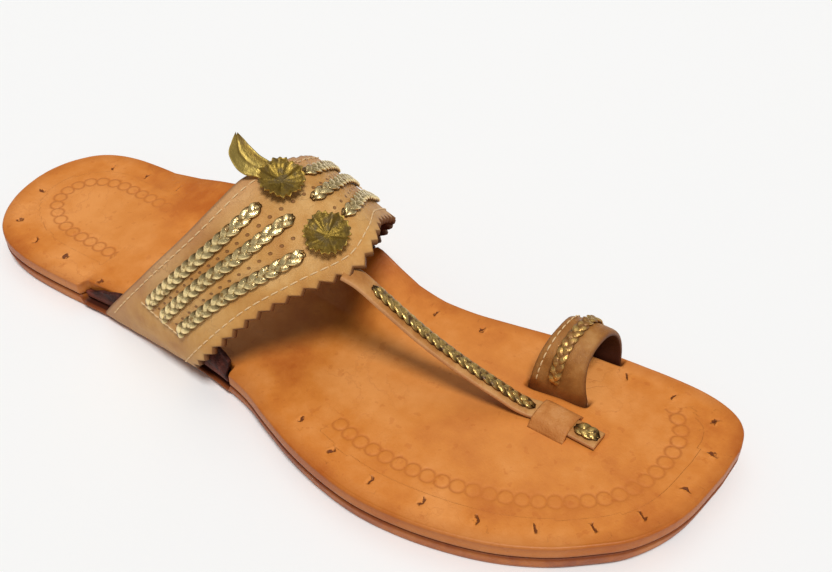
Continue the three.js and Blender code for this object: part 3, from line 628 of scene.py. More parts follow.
# the slits: a bent ragged dark line, painted shade in the cut, with a paler lip beside it, a painted
# highlight
slit_u, slit_v = insole_finish.map("slit")
slit_v = slit_v + (object_noise(insole_finish.tree, 560.0, 3.0, 0.5) - 0.5) * 1.1
slit_end = (1.0 - (abs(slit_u) * 2.4) ** 2.0).at_least(0.0)
slit_line = (1.0 - abs(slit_v - slit_u * slit_u * 0.9) * 6.0).at_least(0.0)
slit_mask = (slit_line * slit_end * 2.0).at_most(1.0)
# painted shade inside the cut of each slit
insole_finish.stain(slit_mask, (92, 38, 12), 0.9)
lip_highlight = (1.0 - abs(slit_v - 0.3) * 7.0).at_least(0.0)
# painted highlight on the raised lip beside each slit
insole_finish.stain(lip_highlight * slit_end, (236, 150, 70), 0.5)
insole_finish.press(slit_mask, -0.3)
insole_finish.stain(insole_finish.value("rim"), (146, 70, 20), 0.85)
# painted shade in the openings of the slots
insole_finish.stain(insole_finish.value("slot"), (70, 32, 18), 0.95)
finish_piece(insole, insole_finish.material, ["insole"])

# Keeper bridge: a strip of the insole's own leather, cut free along two lines and raised over the
# end of the toe strap. It is duller than the waxed face round it.
strap_end_x = -0.14 * ball_width
keeper_start = 0.797 * sole_length
keeper_length = 11.0
keeper_end = keeper_start + keeper_length
strap_width = 6.6
strap_thickness = 1.8


def keeper_points():
    """A flat arch in section, carried along the strap: a half round of power 3.4 over the tunnel,
    with its feet flared on to the insole and its front and back edges turned down a little."""
    angle = np.linspace(0, np.pi, 41)
    power = 2 / 3.4
    across = np.sign(np.cos(angle)) * np.abs(np.cos(angle)) ** power
    up = np.sin(angle) ** power
    flare = 1.7 * (1 - up) ** 2
    along = np.linspace(0, 1, 25)
    edge_fall = 0.35 * (np.exp(-along / 0.05) + np.exp(-(1 - along) / 0.05))[:, None]
    bow = 0.3 * np.sin(np.pi * along)[:, None]
    outer_x = strap_end_x + across * (strap_width / 2 + 1.2) + np.sign(across) * flare
    y = (keeper_start + along * keeper_length)[:, None]
    outer_z = insole_top - 0.25 + up[None] * (3.2 - edge_fall + bow * 0.5)
    outer = np.stack(np.broadcast_arrays(outer_x[None], y, outer_z), axis=-1)
    inner_x = strap_end_x + across * (strap_width / 2 + 0.35)
    inner_z = insole_top - 0.35 + up[None] * 2.75
    inner = np.stack(np.broadcast_arrays(inner_x[None], y, inner_z), axis=-1)
    inner[..., 2] = np.minimum(inner[..., 2], outer[..., 2] - 0.12)
    return outer, inner


def walled(outer, inner):
    """Rows round a wall: over its outer face, over a rounded edge, back over its inner face. The
    first and last rows are closed."""
    def rounded(end, next_to_end):
        outward = unit(outer[:, end] - outer[:, next_to_end])
        wall = np.linalg.norm(outer[:, end] - inner[:, end], axis=-1, keepdims=True)
        return (0.5 * (outer[:, end] + inner[:, end]) + 0.22 * outward * wall)[:, None]

    lip, tail = rounded(-1, -2), rounded(0, 1)
    rows = np.concatenate([outer, lip, inner[:, ::-1], tail], axis=1)
    flat = np.concatenate([(outer + inner) / 2, lip, ((outer + inner) / 2)[:, ::-1], tail], axis=1)
    return np.concatenate([flat[:1], rows, flat[-1:]], axis=0)


def wall_share(outer):
    """0 on the outer face, 1 on the inner face and 0.5 at the edges, for the points of walled."""
    rows, columns = outer.shape[:2]
    row = np.concatenate([np.zeros(columns), [0.5], np.ones(columns), [0.5]])
    return np.tile(row, (rows + 2, 1))


keeper_outer, keeper_inner = keeper_points()
keeper = sheet_object("keeper_bridge", walled(keeper_outer, keeper_inner), wrap=True,
                      values={"inside": wall_share(keeper_outer)})
keeper_tones = ((182, 112, 52), (196, 128, 66), (210, 148, 90))
keeper_finish = Leather("keeper_pale", keeper_tones, 0.6, 160.0, 1200.0, 0.12)
# the inner face is painted darker: painted shade under the arch
keeper_finish.stain(keeper_finish.value("inside"), (120, 64, 34), 0.8)
finish_piece(keeper, keeper_finish.material, [])

# Ears: one at each side of the waist, a folded leather tongue let in between the two layers of the
# sole. The vamp is sewn to it. Its flesh side is dark and crumpled, its cut edge pale pink.
ear_reach = 9.0
ear_top = 9.0
# share of the ear's length, and its height there as a share of the ear's top
ear_wall = np.array([(0.0, -0.35), (0.2, 0.2), (0.6, 0.7), (0.85, 1.0), (1.0, 0.45)])


def ear_sheet(side):
    """A wall that follows the sole's edge, bent in at its foot between the layers, with folds that
    run along it and grow towards the front."""
    back, front = ear_places[side]
    outward = 1 if side == "lateral" else -1
    y = np.linspace(back, front, 150)
    share = (y - back) / (front - back)
    stand = np.interp(share, *ear_wall.T)
    top = insole_top + ear_top * stand - 0.4 + 0.5 * np.sin(share * 31) * share
    # from the root under the insole, out to the wall, and up it
    foot = np.array([-(ear_inner + ear_reach), -(ear_inner + 4.0), -3.0, -2.15, -1.85])
    foot_z = np.array([4.2, 4.2, 4.25, 4.7, 6.0])
    climb = np.linspace(0.12, 1, 14)
    edge = edge_x(y, side)
    out = np.concatenate([np.tile(foot, (len(y), 1)), np.full((len(y), len(climb)), foot[-1])], axis=1)
    wall_z = foot_z[-1] + (top[:, None] - foot_z[-1]) * climb[None]
    z = np.concatenate([np.tile(foot_z, (len(y), 1)), wall_z], axis=1)
    past_vamp = smooth_step(0.74, 0.86, share)[:, None]
    folding = share[:, None] * 30 + (z - 6) * 0.9 + 2.2 * np.sin(share[:, None] * 11)
    fold = np.sin(folding) * smooth_step(5.0, 8, z)
    bulge = 1.35 * past_vamp * smooth_step(4.4, 5.6, z) * (1 - smooth_step(8.0, 15.0, z))
    out = out - 0.35 - (0.25 + 0.3 * past_vamp) * fold + bulge
    x = edge[:, None] + outward * out
    inside_x = np.clip(x, edge_x(y, "medial")[:, None], edge_x(y, "lateral")[:, None])
    rise = sole_rise(inside_x, y[:, None])
    centre = np.stack(np.broadcast_arrays(x, y[:, None], z + rise), axis=-1)
    lengthways = np.gradient(centre, axis=0)
    upward = np.gradient(centre, axis=1)
    normal = unit(np.cross(lengthways, upward)) * outward
    return centre + 0.55 * normal, centre - 0.55 * normal


for side in ear_places:
    ear_outer, ear_inside = ear_sheet(side)
    ear_points = walled(ear_outer, ear_inside)
    flat_z = ear_points[..., 2] - sole_rise(ear_points[..., 0], ear_points[..., 1])
    foot_share = (1 - smooth_step(4.5, 8.5, flat_z)) * (1 - wall_share(ear_outer))
    ear = sheet_object(f"ear_{side}_leather", ear_points, wrap=True, values={"foot": foot_share})
    ear_tones = ((44, 14, 8), (70, 28, 18), (112, 54, 42))
    ear_finish = Leather(f"ear_{side}_flesh", ear_tones, 0.62, 260.0, 1500.0, 0.2)
    ear_finish.stain(ear_finish.value("foot"), (150, 78, 58), 0.5)
    finish_piece(ear, ear_finish.material, [f"ear_{side}"])

# Upper, first part: the vamp. A band of fine tan leather on a dark lining, drawn over the last from
# ear to ear. Its back edge is turned in, its front edge is pinked, and small holes are punched in
# rows between the plaits.
vamp_thickness = 2.0
vamp_back_height = 59.8
vamp_front_height = 45.4
vamp_swell = 1.6
vamp_foot_z = 3.2
vamp_face = 0.5
pink_pitch = 4.9
pink_depth = 2.0
# across as a share of half the span, up as a share of the height
vamp_back_rows = np.array([
    (1.0, 0), (1.02, 0.16), (0.96, 0.33), (0.88, 0.54), (0.73, 0.75), (0.5, 0.93), (0.2, 1.005),
    (-0.155, 1.01), (-0.435, 0.94), (-0.75, 0.8), (-1.025, 0.65), (-1.2, 0.455), (-1.145, 0.215), (-1.0, 0)])
vamp_front_rows = np.array([
    (1.0, 0), (1.13, 0.17), (1.13, 0.36), (1.02, 0.54), (0.845, 0.72), (0.545, 0.92), (0.205, 1.06),
    (-0.105, 1.115), (-0.405, 1.04), (-0.715, 0.84), (-0.97, 0.645), (-1.075, 0.4), (-1.05, 0.165),
    (-1.0, 0)])
# share of the sole's length at the lateral and medial foot, then the lean there, then the point
vamp_back_run = (0.262, 0.306, 0.77, 0.84, -3.8)
vamp_front_run = (0.424, 0.488, 0.645, 0.65, 10.5)
point_at = 0.465
point_spread = 0.1


def vamp_edge(rows, run, height):
    """One edge of the vamp: an arch over the sole that leans forwards as it rises, with a point at
    its middle that follows a bell curve."""
    lateral_at, medial_at, lateral_lean, medial_lean, point = run
    foot_y = np.array([lateral_at, medial_at]) * sole_length
    lateral_x, medial_x = edge_x(foot_y[0], "lateral"), edge_x(foot_y[1], "medial")
    foot_x = np.array([lateral_x + vamp_face, medial_x - vamp_face])
    foot_z = vamp_foot_z + np.array([0.0, float(sole_rise(medial_x, foot_y[1]))])
    share = np.linspace(0, 1, len(rows))
    base_z = foot_z[0] + (foot_z[1] - foot_z[0]) * share
    z = base_z + (height - base_z) * rows[:, 1]
    lean = lateral_lean + (medial_lean - lateral_lean) * share
    bell = np.exp(-((share - point_at) / point_spread) ** 2)
    y = foot_y[0] + (foot_y[1] - foot_y[0]) * share + lean * (z - base_z) + point * bell
    x = foot_x.mean() + rows[:, 0] * (foot_x[0] - foot_x[1]) / 2
    return smooth_path(np.column_stack([x, y, z]))


vamp_back = vamp_edge(vamp_back_rows, vamp_back_run, vamp_back_height)
vamp_front = vamp_edge(vamp_front_rows, vamp_front_run, vamp_front_height)
vamp_girth = (run_of(vamp_back)[-1] + run_of(vamp_front)[-1]) / 2
vamp_length = float(np.linalg.norm(at_shares(vamp_back, [0.5]) - at_shares(vamp_front, [0.5])))


def vamp_at(around, along, lift=0.0):
    """Outer face of the vamp: a straight line from its back edge to its front edge, swollen by a
    half wave each way, and moved out by lift."""
    around, along = np.broadcast_arrays(np.asarray(around, float), np.asarray(along, float))
    lift = np.asarray(lift, float) + np.zeros(around.shape)

    def place(u, v):
        u = np.clip(u, 0, 1)
        back, front = at_shares(vamp_back, u), at_shares(vamp_front, u)
        return back + (front - back) * v[..., None]

    step = 0.004
    acrossway = place(around + step, along) - place(around - step, along)
    lengthway = place(around, along + 0.05) - place(around, along - 0.05)
    normal = unit(np.cross(lengthway, acrossway))
    swell = vamp_swell * np.sin(np.pi * np.clip(along, 0, 1)) * np.sin(np.pi * around)
    return place(around, along) + normal * (lift + swell)[..., None]


def crease(around, along):
    """Soft creases of the leather, deepest over the crown near the back edge."""
    crown = np.exp(-((around - 0.62) / 0.13) ** 2) * (1 - smooth_step(0.05, 0.55, along))
    crumple = 0.28 * crown * np.sin(around * 150 + 5 * np.sin(along * 9))
    return crumple + 0.05 * np.sin(around * 60 + along * 7) + 0.04 * np.sin(around * 23 - along * 31)


tooth_count = int(round(run_of(vamp_front)[-1] / pink_pitch))
vamp_columns = tooth_count * 12
around = np.linspace(0, 1, vamp_columns + 1)
tooth = np.abs(np.mod(around * tooth_count, 1) - 0.5) * 2
tip = 1 - pink_depth / vamp_length * tooth
along_rows = np.concatenate([np.linspace(0, 0.9, 34), np.linspace(0.912, 1, 9)])
# the last rows follow the teeth
toothed_from = 0.88
to_tip = (along_rows[None] - toothed_from) / (1 - toothed_from)
to_teeth = toothed_from + (tip[:, None] - toothed_from) * to_tip
along = np.where(along_rows[None] <= toothed_from, along_rows[None], to_teeth)
around_grid = np.broadcast_to(around[:, None], along.shape)
turned_in = 0.5 * np.exp(-along / 0.012)
vamp_outer = vamp_at(around_grid, along, crease(around_grid, along) - turned_in)
vamp_inner = vamp_at(around_grid, along, 0.6 * (crease(around_grid, along) + turned_in) - vamp_thickness)
vamp_map = np.stack([around_grid * vamp_girth * 0.1, along * vamp_length * 0.1], axis=-1)


def walled_map(flat):
    """The flat coordinates of a wall's outer face for the points of walled, and far away inside."""
    far = np.full_like(flat, -9.0)
    rows = np.concatenate([flat, flat[:, -1:], far, flat[:, :1]], axis=1)
    return np.concatenate([rows[:1], rows, rows[-1:]], axis=0)


def walled_values(numbers):
    """Numbers on a wall's outer face for the points of walled, and the same inside."""
    rows = np.concatenate([numbers, numbers[:, -1:], numbers[:, ::-1], numbers[:, :1]], axis=1)
    return np.concatenate([rows[:1], rows, rows[-1:]], axis=0)


from_front = (tip[:, None] - along) * vamp_length
from_back = along * vamp_length
pinked_rim = np.exp(-from_front / 0.35) + 0.7 * np.exp(-from_back / 0.3)
back_band = np.exp(-(from_back / 7.0) ** 2)
foot_tone = np.exp(-around_grid / 0.05) + np.exp(-(1 - around_grid) / 0.05)
punched = smooth_step(0.135, 0.15, around_grid) * (1 - smooth_step(0.8, 0.82, around_grid))
vamp_values = {"rim": pinked_rim, "back": back_band, "foot": foot_tone, "punched": punched}
vamp_values = {name: walled_values(numbers) for name, numbers in vamp_values.items()}
vamp = sheet_object("vamp_leather", walled(vamp_outer, vamp_inner), wrap=True,
                    values={"inside": wall_share(vamp_outer), **vamp_values},
                    maps={"band": walled_map(vamp_map)})
upper_tones = ((184, 126, 62), (202, 148, 80), (218, 170, 106))
vamp_finish = Leather("vamp_tan", upper_tones, 0.5, 60.0, 2300.0, 0.1)
band_u, band_v = vamp_finish.map("band")
vamp_finish.stain(vamp_finish.value("back"), (192, 142, 106), 0.5)
# the creases are painted darker: painted shade in them
vamp_finish.stain(vamp_finish.creases, (140, 84, 40), 0.3)
vamp_finish.press(vamp_finish.creases, -0.08)
vamp_finish.stain(vamp_finish.value("foot"), (170, 118, 72), 0.5)
# punched holes: rows at mm from the back edge, then their spacing and size in mm
hole_rows = ((15.2, 3.7, 0.5), (24.6, 3.7, 0.5))
for row_at, hole_pitch, hole_radius in hole_rows:
    step_u = ((band_u * (10 / hole_pitch)).fraction() - 0.5) * hole_pitch
    step_v = band_v * 10.0 - row_at
    far = (step_u * step_u + step_v * step_v).root()
    hole = ((hole_radius + 0.12 - far) * 5.0).at_least(0.0).at_most(1.0) * vamp_finish.value("punched")
    vamp_finish.stain(hole, (122, 72, 38), 0.75)
    vamp_finish.press(hole, -0.35)
vamp_finish.stain(vamp_finish.value("rim"), (92, 46, 24), 0.75)
vamp_finish.stain(vamp_finish.value("inside"), (70, 28, 12), 1.0)
finish_piece(vamp, vamp_finish.material, ["upper"])

# Upper, second part: the toe strap, a narrow doubled strip that starts under the vamp's front edge,
# falls in a curve between the toes, passes under the keeper and ends in a small tab.
strap_around = 0.495
strap_rest = insole_top + seat_gap
tab_end = keeper_end + 8.0
strap_root = vamp_at(strap_around, 1.0, -vamp_thickness / 2)
# run, across and drop as shares of the way from the vamp to the keeper
strap_rows = np.array([
    (-0.1, -0.1, -0.045), (0, 0, 0.02), (0.14, 0.14, 0.2), (0.35, 0.35, 0.47), (0.57, 0.57, 0.7),
    (0.79, 0.79, 0.89), (0.88, 0.88, 0.965), (0.96, 0.96, 0.998), (1, 1, 1)])
strap_points = np.column_stack([
    strap_root[0] + (strap_end_x - strap_root[0]) * strap_rows[:, 1],
    strap_root[1] + (keeper_start - strap_root[1]) * strap_rows[:, 0],
    strap_root[2] - strap_thickness + (strap_rest - strap_root[2] + strap_thickness) * strap_rows[:, 2]])
strap_tail = [(strap_end_x, y, strap_rest) for y in ((keeper_start + keeper_end) / 2, keeper_end, tab_end)]
strap_path = smooth_path(np.vstack([strap_points, strap_tail]))


def level_frames(path):
    """Directions at each point of a path: ahead, a level side and up."""
    ahead = unit(np.gradient(path, axis=0))
    side = unit(np.cross(ahead, [0.0, 0.0, 1.0]))
    return ahead, side, unit(np.cross(side, ahead))


def strip_surface(path, width, thickness, crown):
    """A strip with round edges carried along a path: an ellipse of power 4 in section, its top
    raised by crown at the middle."""
    ahead, side, up = level_frames(path)
    angle = np.linspace(0, 2 * np.pi, 28, endpoint=False)
    across = np.sign(np.cos(angle)) * np.abs(np.cos(angle)) ** 0.5
    over = np.sign(np.sin(angle)) * np.abs(np.sin(angle)) ** 0.5
    lift = thickness / 2 * (1 + over) + crown * (over > 0) * (1 - across ** 2)
    sideways = side[:, None] * (across * width / 2)[None, :, None]
    rings = path[:, None] + sideways + up[:, None] * lift[None, :, None]
    middle = (path + up * thickness / 2)[:, None]
    first, last = (np.repeat(end, len(angle), axis=1) for end in (middle[:1], middle[-1:]))
    return np.concatenate([first, rings, last]), over


strap_steps = at_shares(strap_path, np.linspace(0.02, 1, 170))
strap_surface, strap_over = strip_surface(strap_steps, strap_width - 0.2, strap_thickness - 0.1, 0.15)
strap = sheet_object("toe_strap_leather", strap_surface, wrap=True, values={
    "edge": np.tile(np.where(np.abs(strap_over) < 0.75, 1.0, 0.0), (len(strap_surface), 1)),
    "under": np.tile((strap_over < -0.5).astype(float), (len(strap_surface), 1))})
strap_finish = Leather("strap_tan", ((166, 106, 50), (186, 126, 66), (204, 150, 90)), 0.5, 120.0, 2300.0, 0.1)
strap_finish.stain(strap_finish.value("edge"), (214, 160, 112), 0.5)
# the underside is painted darker: painted shade under the strap
strap_finish.stain(strap_finish.value("under"), (110, 62, 34), 0.8)
finish_piece(strap, strap_finish.material, ["upper"])

# Toe ring: a broad loop for the big toe, of the same tan leather, its ends drawn through two slots
# in the insole. Its inner face is painted dark brown, a painted shade inside the loop.
ring_top_length = 12.0
ring_height = 16.5
ring_rows = np.array([
    (1.0, 0.0), (1.05, 0.28), (1.0, 0.56), (0.84, 0.8), (0.5, 0.96), (0.08, 1.0), (-0.4, 0.95), (-0.8, 0.76),
    (-1.01, 0.48), (-1.05, 0.22), (-1.0, 0.0)])
ring_seat = outsole_top + 2 * seat_gap
ring_arch = smooth_path(np.vstack([
    [(ring_span / 2, ring_seat)],
    np.column_stack([ring_rows[:, 0] * ring_span / 2, insole_top + ring_rows[:, 1] * ring_height]),
    [(-ring_span / 2, ring_seat)]]))


def ring_at(around, along, lift=0.0):
    """Face of the toe ring: an arch across the sole, as long as its foot below and shorter at its
    top, slanted a little to the sole's line."""
    around, along = np.broadcast_arrays(np.asarray(around, float), np.asarray(along, float))
    point = at_shares(ring_arch, np.clip(around, 0, 1))
    before, after = (at_shares(ring_arch, np.clip(around + step, 0, 1)) for step in (-0.01, 0.01))
    tangent = unit(after - before)
    point = point + np.stack([tangent[..., 1], -tangent[..., 0]], axis=-1) * np.asarray(lift)[..., None]
    climb = np.clip((point[..., 1] - insole_top) / ring_height, 0, 1)
    y = (along - 0.5) * (ring_length + (ring_top_length - ring_length) * climb)
    x = ring_middle_x + point[..., 0] + ring_skew * y
    return np.stack([x, ring_back + ring_length / 2 + y, point[..., 1]], axis=-1)


ring_around = np.linspace(0.0, 1, 150)[:, None]
ring_along = np.linspace(0, 1, 26)[None]
rolled = 0.35 * (np.exp(-ring_along / 0.04) + np.exp(-(1 - ring_along) / 0.04))
ring_bow = 0.35 * np.sin(np.pi * ring_along)
ring_outer = ring_at(ring_around, ring_along, ring_bow - rolled - 0.1)
ring_inner = ring_at(ring_around, ring_along, ring_bow * 0.5 - ring_wall + 0.1 + rolled * 0.3)
ring_edge = np.exp(-ring_along / 0.03) + np.exp(-(1 - ring_along) / 0.03)
ring_foot = 1 - smooth_step(0.04, 0.16, np.minimum(ring_around, 1 - ring_around))
toe_ring = sheet_object("toe_ring_leather", walled(ring_outer, ring_inner), wrap=True, values={
    "inside": wall_share(ring_outer),
    "edge": walled_values(np.broadcast_to(ring_edge, ring_outer.shape[:2])),
    "foot": walled_values(np.broadcast_to(ring_foot, ring_outer.shape[:2]))})
ring_tones = ((146, 92, 40), (168, 112, 54), (186, 134, 76))
ring_finish = Leather("toe_ring_tan", ring_tones, 0.48, 110.0, 2300.0, 0.1)
ring_finish.stain(ring_finish.value("foot"), (104, 50, 26), 0.7)
ring_finish.stain(ring_finish.value("edge"), (120, 72, 38), 0.4)
# painted shade on the inner face, inside the loop
ring_finish.stain(ring_finish.value("inside"), (60, 26, 16), 1.0)
finish_piece(toe_ring, ring_finish.material, ["toe_ring"])

# Plaits: three flat strands of gold-foiled leather each, sewn on the vamp in two sets of three, on
# the toe strap, on its tab and over the toe ring.
plait_pitch = 10.4


def plait_points(centre, side, up, width, pitch, strand, phase):
    """The rings of one strand of a flat plait: it swings across by a sine and rises and dips by a
    sine of twice that, with a flat oval in section that leans with the swing."""
    run = run_of(centre)
    turn = 2 * np.pi * (run / pitch + phase)
    reach = width / 2 - strand
    ends = smooth_step(0, 2.2, run) * smooth_step(0, 2.2, run[-1] - run)
    path = (centre + side * (reach * np.sin(turn) * (0.45 + 0.55 * ends))[:, None]
            + up * ((0.26 * np.sin(2 * turn) + 0.42) * ends + 0.2)[:, None])
    ahead = unit(np.gradient(path, axis=0))
    flat = unit(np.cross(up, ahead))
    top = unit(np.cross(ahead, flat))
    angle = np.linspace(0, 2 * np.pi, 12, endpoint=False)
    fade = 0.45 + 0.55 * ends
    thick = np.sign(np.sin(angle)) * np.abs(np.sin(angle)) ** 0.8 * 0.42
    section = (flat[:, None] * (np.cos(angle) * strand)[None, :, None] + top[:, None] * thick[None, :, None])
    ring = path[:, None] + section * fade[:, None, None]
    # painted shade: 1 where the strand dips under the others and towards its ends, 0 where it rides on top
    dip = (0.5 - 0.5 * np.sin(2 * turn)) * ends + (1 - ends)
    dip = np.concatenate([dip[:1], dip, dip[-1:]])[:, None] * np.ones(len(angle))
    first, last = (np.repeat(end[:, None], len(angle), axis=1) for end in (path[:1], path[-1:]))
    return np.concatenate([first, ring, last]), dip


def join(pieces, name):
    """Makes one object of several."""
    work = bmesh.new()
    for piece in pieces:
        work.from_mesh(piece.data)
        bpy.data.objects.remove(piece)
    mesh = bpy.data.meshes.new(name)
    work.to_mesh(mesh)
    work.free()
    joined = bpy.data.objects.new(name, mesh)
    bpy.context.collection.objects.link(joined)
    return joined


def plait(name, centre, side, up, width, pitch=plait_pitch, strand=0.92):
    """A three-strand plait along a line of places."""
    strands = []
    for number in range(3):
        points, dip = plait_points(centre, side, up, width, pitch, strand, number / 3)
        strands.append(sheet_object(f"{name}_{number}", points, wrap=True, values={"dip": dip}))
    return join(strands, name)


def foil_finish(name, tone, worn_tone, worn_share, roughness, shade, shade_tone):
    """Gold foil on leather: a metal skin, finely crinkled, rubbed through in specks, and painted darker,
    as painted shade, where the attribute shade is high."""
    material = bpy.data.materials.new(name)
    material.use_nodes = True
    tree = material.node_tree
    shader = tree.nodes["Principled BSDF"]
    crinkle, grain, _, _ = hide_signals(tree, 420.0, 1800.0)
    worn = ((crinkle - (1 - worn_share)) * 9.0).at_least(0.0).at_most(1.0)
    colour = tinted(tree, linear(*tone), worn, worn_tone)
    colour = tinted(tree, colour, attribute_signal(tree, shade), shade_tone)
    tree.links.new(colour, shader.inputs["Base Color"])
    (0.95 - worn * 0.7).feed(shader.inputs["Metallic"])
    (crinkle * 0.2 + roughness).feed(shader.inputs["Roughness"])
    (crinkle * 0.35 + grain * 0.05).feed(relief(tree, shader))
    return material


# the plaits are painted darker where their strands dip: painted shade between the strands
gold_foil = foil_finish("gold_foil", (255, 228, 164), (140, 104, 46), 0.46, 0.16, "dip", (98, 66, 26))
# where each plait starts and ends: place round the vamp, then place along it
plait_rows = {
    "lateral_back": ((0.138, 0.27), (0.466, 0.25)), "medial_back": ((0.564, 0.22), (0.8, 0.27)),
    "lateral_middle": ((0.135, 0.46), (0.49, 0.46)), "medial_middle": ((0.533, 0.43), (0.81, 0.5)),
    "lateral_front": ((0.135, 0.66), (0.456, 0.72)), "medial_front": ((0.555, 0.68), (0.83, 0.74))}
vamp_plait_width = 4.1


def vamp_up(around, along):
    """Direction that points straight out of the vamp."""
    return unit(vamp_at(around, along, 1.0) - vamp_at(around, along, 0.0))


def vamp_line(start, end, lift):
    """Places on the vamp from one place to another, with the directions across the line and up."""
    count = max(8, int(abs(end[0] - start[0]) * vamp_girth * 3.2))
    around = np.linspace(start[0], end[0], count)
    place = np.linspace(start[1], end[1], count)
    centre = vamp_at(around, place, lift)
    up = vamp_up(around, place)
    ahead = unit(np.gradient(centre, axis=0))
    return centre, unit(np.cross(ahead, up)), up


for row, (start, end) in plait_rows.items():
    centre, across, up = vamp_line(start, end, 0.3)
    piece = plait(f"plait_{row}", centre, across, up, vamp_plait_width)
    finish_piece(piece, gold_foil, [f"vamp_braid_{row}"])

strap_gold = foil_finish("strap_foil", (232, 194, 116), (90, 60, 26), 0.5, 0.22, "dip", (58, 34, 14))
strap_run = run_of(strap_path) / run_of(strap_path)[-1]


def strap_line(from_y, to_y, lift):
    """Places along the strap's top between two places of the sole."""
    low, high = np.interp([from_y, to_y], strap_path[:, 1], strap_run)
    centre = at_shares(strap_path, np.linspace(low, high, max(10, int((to_y - from_y) * 3.4))))
    ahead, side, up = level_frames(centre)
    return centre + up * (strap_thickness + lift), side, up


strap_plaits = (
    ("plait_toe_strap", "toe_strap_braid", strap_root[1] + pink_depth + 1, keeper_start - 1, 3.8, 8.4, 0.94),
    ("plait_tab", "tab_braid", keeper_end + 0.4, tab_end - 0.3, 4.8, 7.4, 1.3))
for name, node, from_y, to_y, width, pitch, strand in strap_plaits:
    centre, across, up = strap_line(from_y, to_y, 0.05)
    piece = plait(name, centre, across, up, width, pitch, strand)
    finish_piece(piece, strap_gold, [node])

ring_line = np.linspace(0.16, 0.84, 116)
centre = ring_at(ring_line, 0.47, 0.4)
ring_up = unit(ring_at(ring_line, 0.47, 1.0) - ring_at(ring_line, 0.47, 0.0))
across = unit(np.cross(unit(np.gradient(centre, axis=0)), ring_up))
ring_gold = foil_finish("ring_foil", (232, 190, 112), (146, 98, 44), 0.56, 0.28, "dip", (120, 76, 32))
ring_plait = plait("plait_toe_ring", centre, across, ring_up, 3.9, 8.0, 0.94)
finish_piece(ring_plait, ring_gold, ["toe_ring_braid"])

# Rosettes: two discs of olive-gold foiled leather on the vamp's crown, cut round with pinking
# teeth, dished and puckered by the stitch that holds their middles.
rosette_radius = 6.6
rosette_teeth = 22


def vamp_seat(around, place):
    """A place just over the vamp, with the directions round the vamp, along it and up from it."""
    up = vamp_up(around, place)
    ahead = unit(vamp_at(around + 0.004, place) - vamp_at(around - 0.004, place))
    return vamp_at(around, place, 0.3), ahead, unit(np.cross(ahead, up)), up


def rosette_surface(around, place, base, turn):
    """Rings from the middle below, out to the toothed rim and back to the middle above. The lift
    grows with the square of the radius, and ripples run round it."""
    centre, ahead, side, up = vamp_seat(around, place)
    angle = np.linspace(0, 2 * np.pi, rosette_teeth * 10, endpoint=False)
    saw = np.abs(np.mod(angle / (2 * np.pi) * rosette_teeth, 1) - 0.5) * 2
    shares = np.array([0.0, 0.12, 0.25, 0.4, 0.55, 0.7, 0.82, 0.9, 1.0])

    def face(lift):
        share = shares[:, None]
        toothed = saw[None] * smooth_step(0.8, 1.0, share)
        radius = share * rosette_radius * (1 - (0.13 + 0.05 * np.sin(7 * angle + turn)) * toothed)
        waves = 0.5 * np.sin(5 * angle + turn) + 0.3 * np.sin(8 * angle + 2.1 * turn)
        waves = waves + 0.2 * np.sin(13 * angle)
        frill = 0.15 * saw[None] * smooth_step(0.85, 1.0, share)
        bowl = base + 1.9 * share ** 2 + waves[None] * share ** 1.5 + lift + frill
        spoke = ahead * (radius * np.cos(angle))[..., None] + side * (radius * np.sin(angle))[..., None]
        return centre + spoke + up * bowl[..., None]

    below, above = face(0.0), face(0.55)
    rim = 0.5 * (below[-1:] + above[-1:])
    grid = np.concatenate([below, rim, above[::-1]])
    rim_values = np.concatenate([shares, [1.0], shares[::-1]])
    # the second grid is a painted shade: 1 at the dished middle, 0 at the rim
    return grid, np.tile(1 - rim_values[:, None] ** 2, (1, len(angle)))


# the rosettes' dished middles are painted darker: painted shade
rosette_foil = foil_finish("rosette_foil", (186, 154, 74), (110, 86, 32), 0.52, 0.38, "middle", (88, 70, 22))
for name, place, base, turn in (("back", (0.515, 0.21), 1.35, 0.4), ("front", (0.505, 0.7), 0.25, 2.0)):
    grid, middle = rosette_surface(place[0], place[1], base, turn)
    rosette = sheet_object(f"rosette_{name}_disc", grid, wrap=True, values={"middle": 0.8 * middle})
    finish_piece(rosette, rosette_foil, [f"rosette_{name}"])

# Leaf: a pointed leaf of the same foiled leather, its stem sewn under the back rosette. It stands
# up behind the vamp, curled along its middle.
leaf_place = (0.515, 0.21)
leaf_length = 17.5
leaf_width = 12.0
# run, lateral, medial, rise and roll, as shares of the leaf's length or width
leaf_rows = np.array([
    (0.0, 0.18, 0.18, 0.01, 0), (0.3, 0.32, 0.2, 0.015, 0), (0.44, 0.55, 0.12, 0.05, 0),
    (0.58, 0.66, 0.02, 0.1, 0.04), (0.76, 0.64, -0.04, 0.16, 0.08), (0.9, 0.42, -0.08, 0.21, 0.07),
    (1.0, 0.2, -0.15, 0.27, 0.03)])


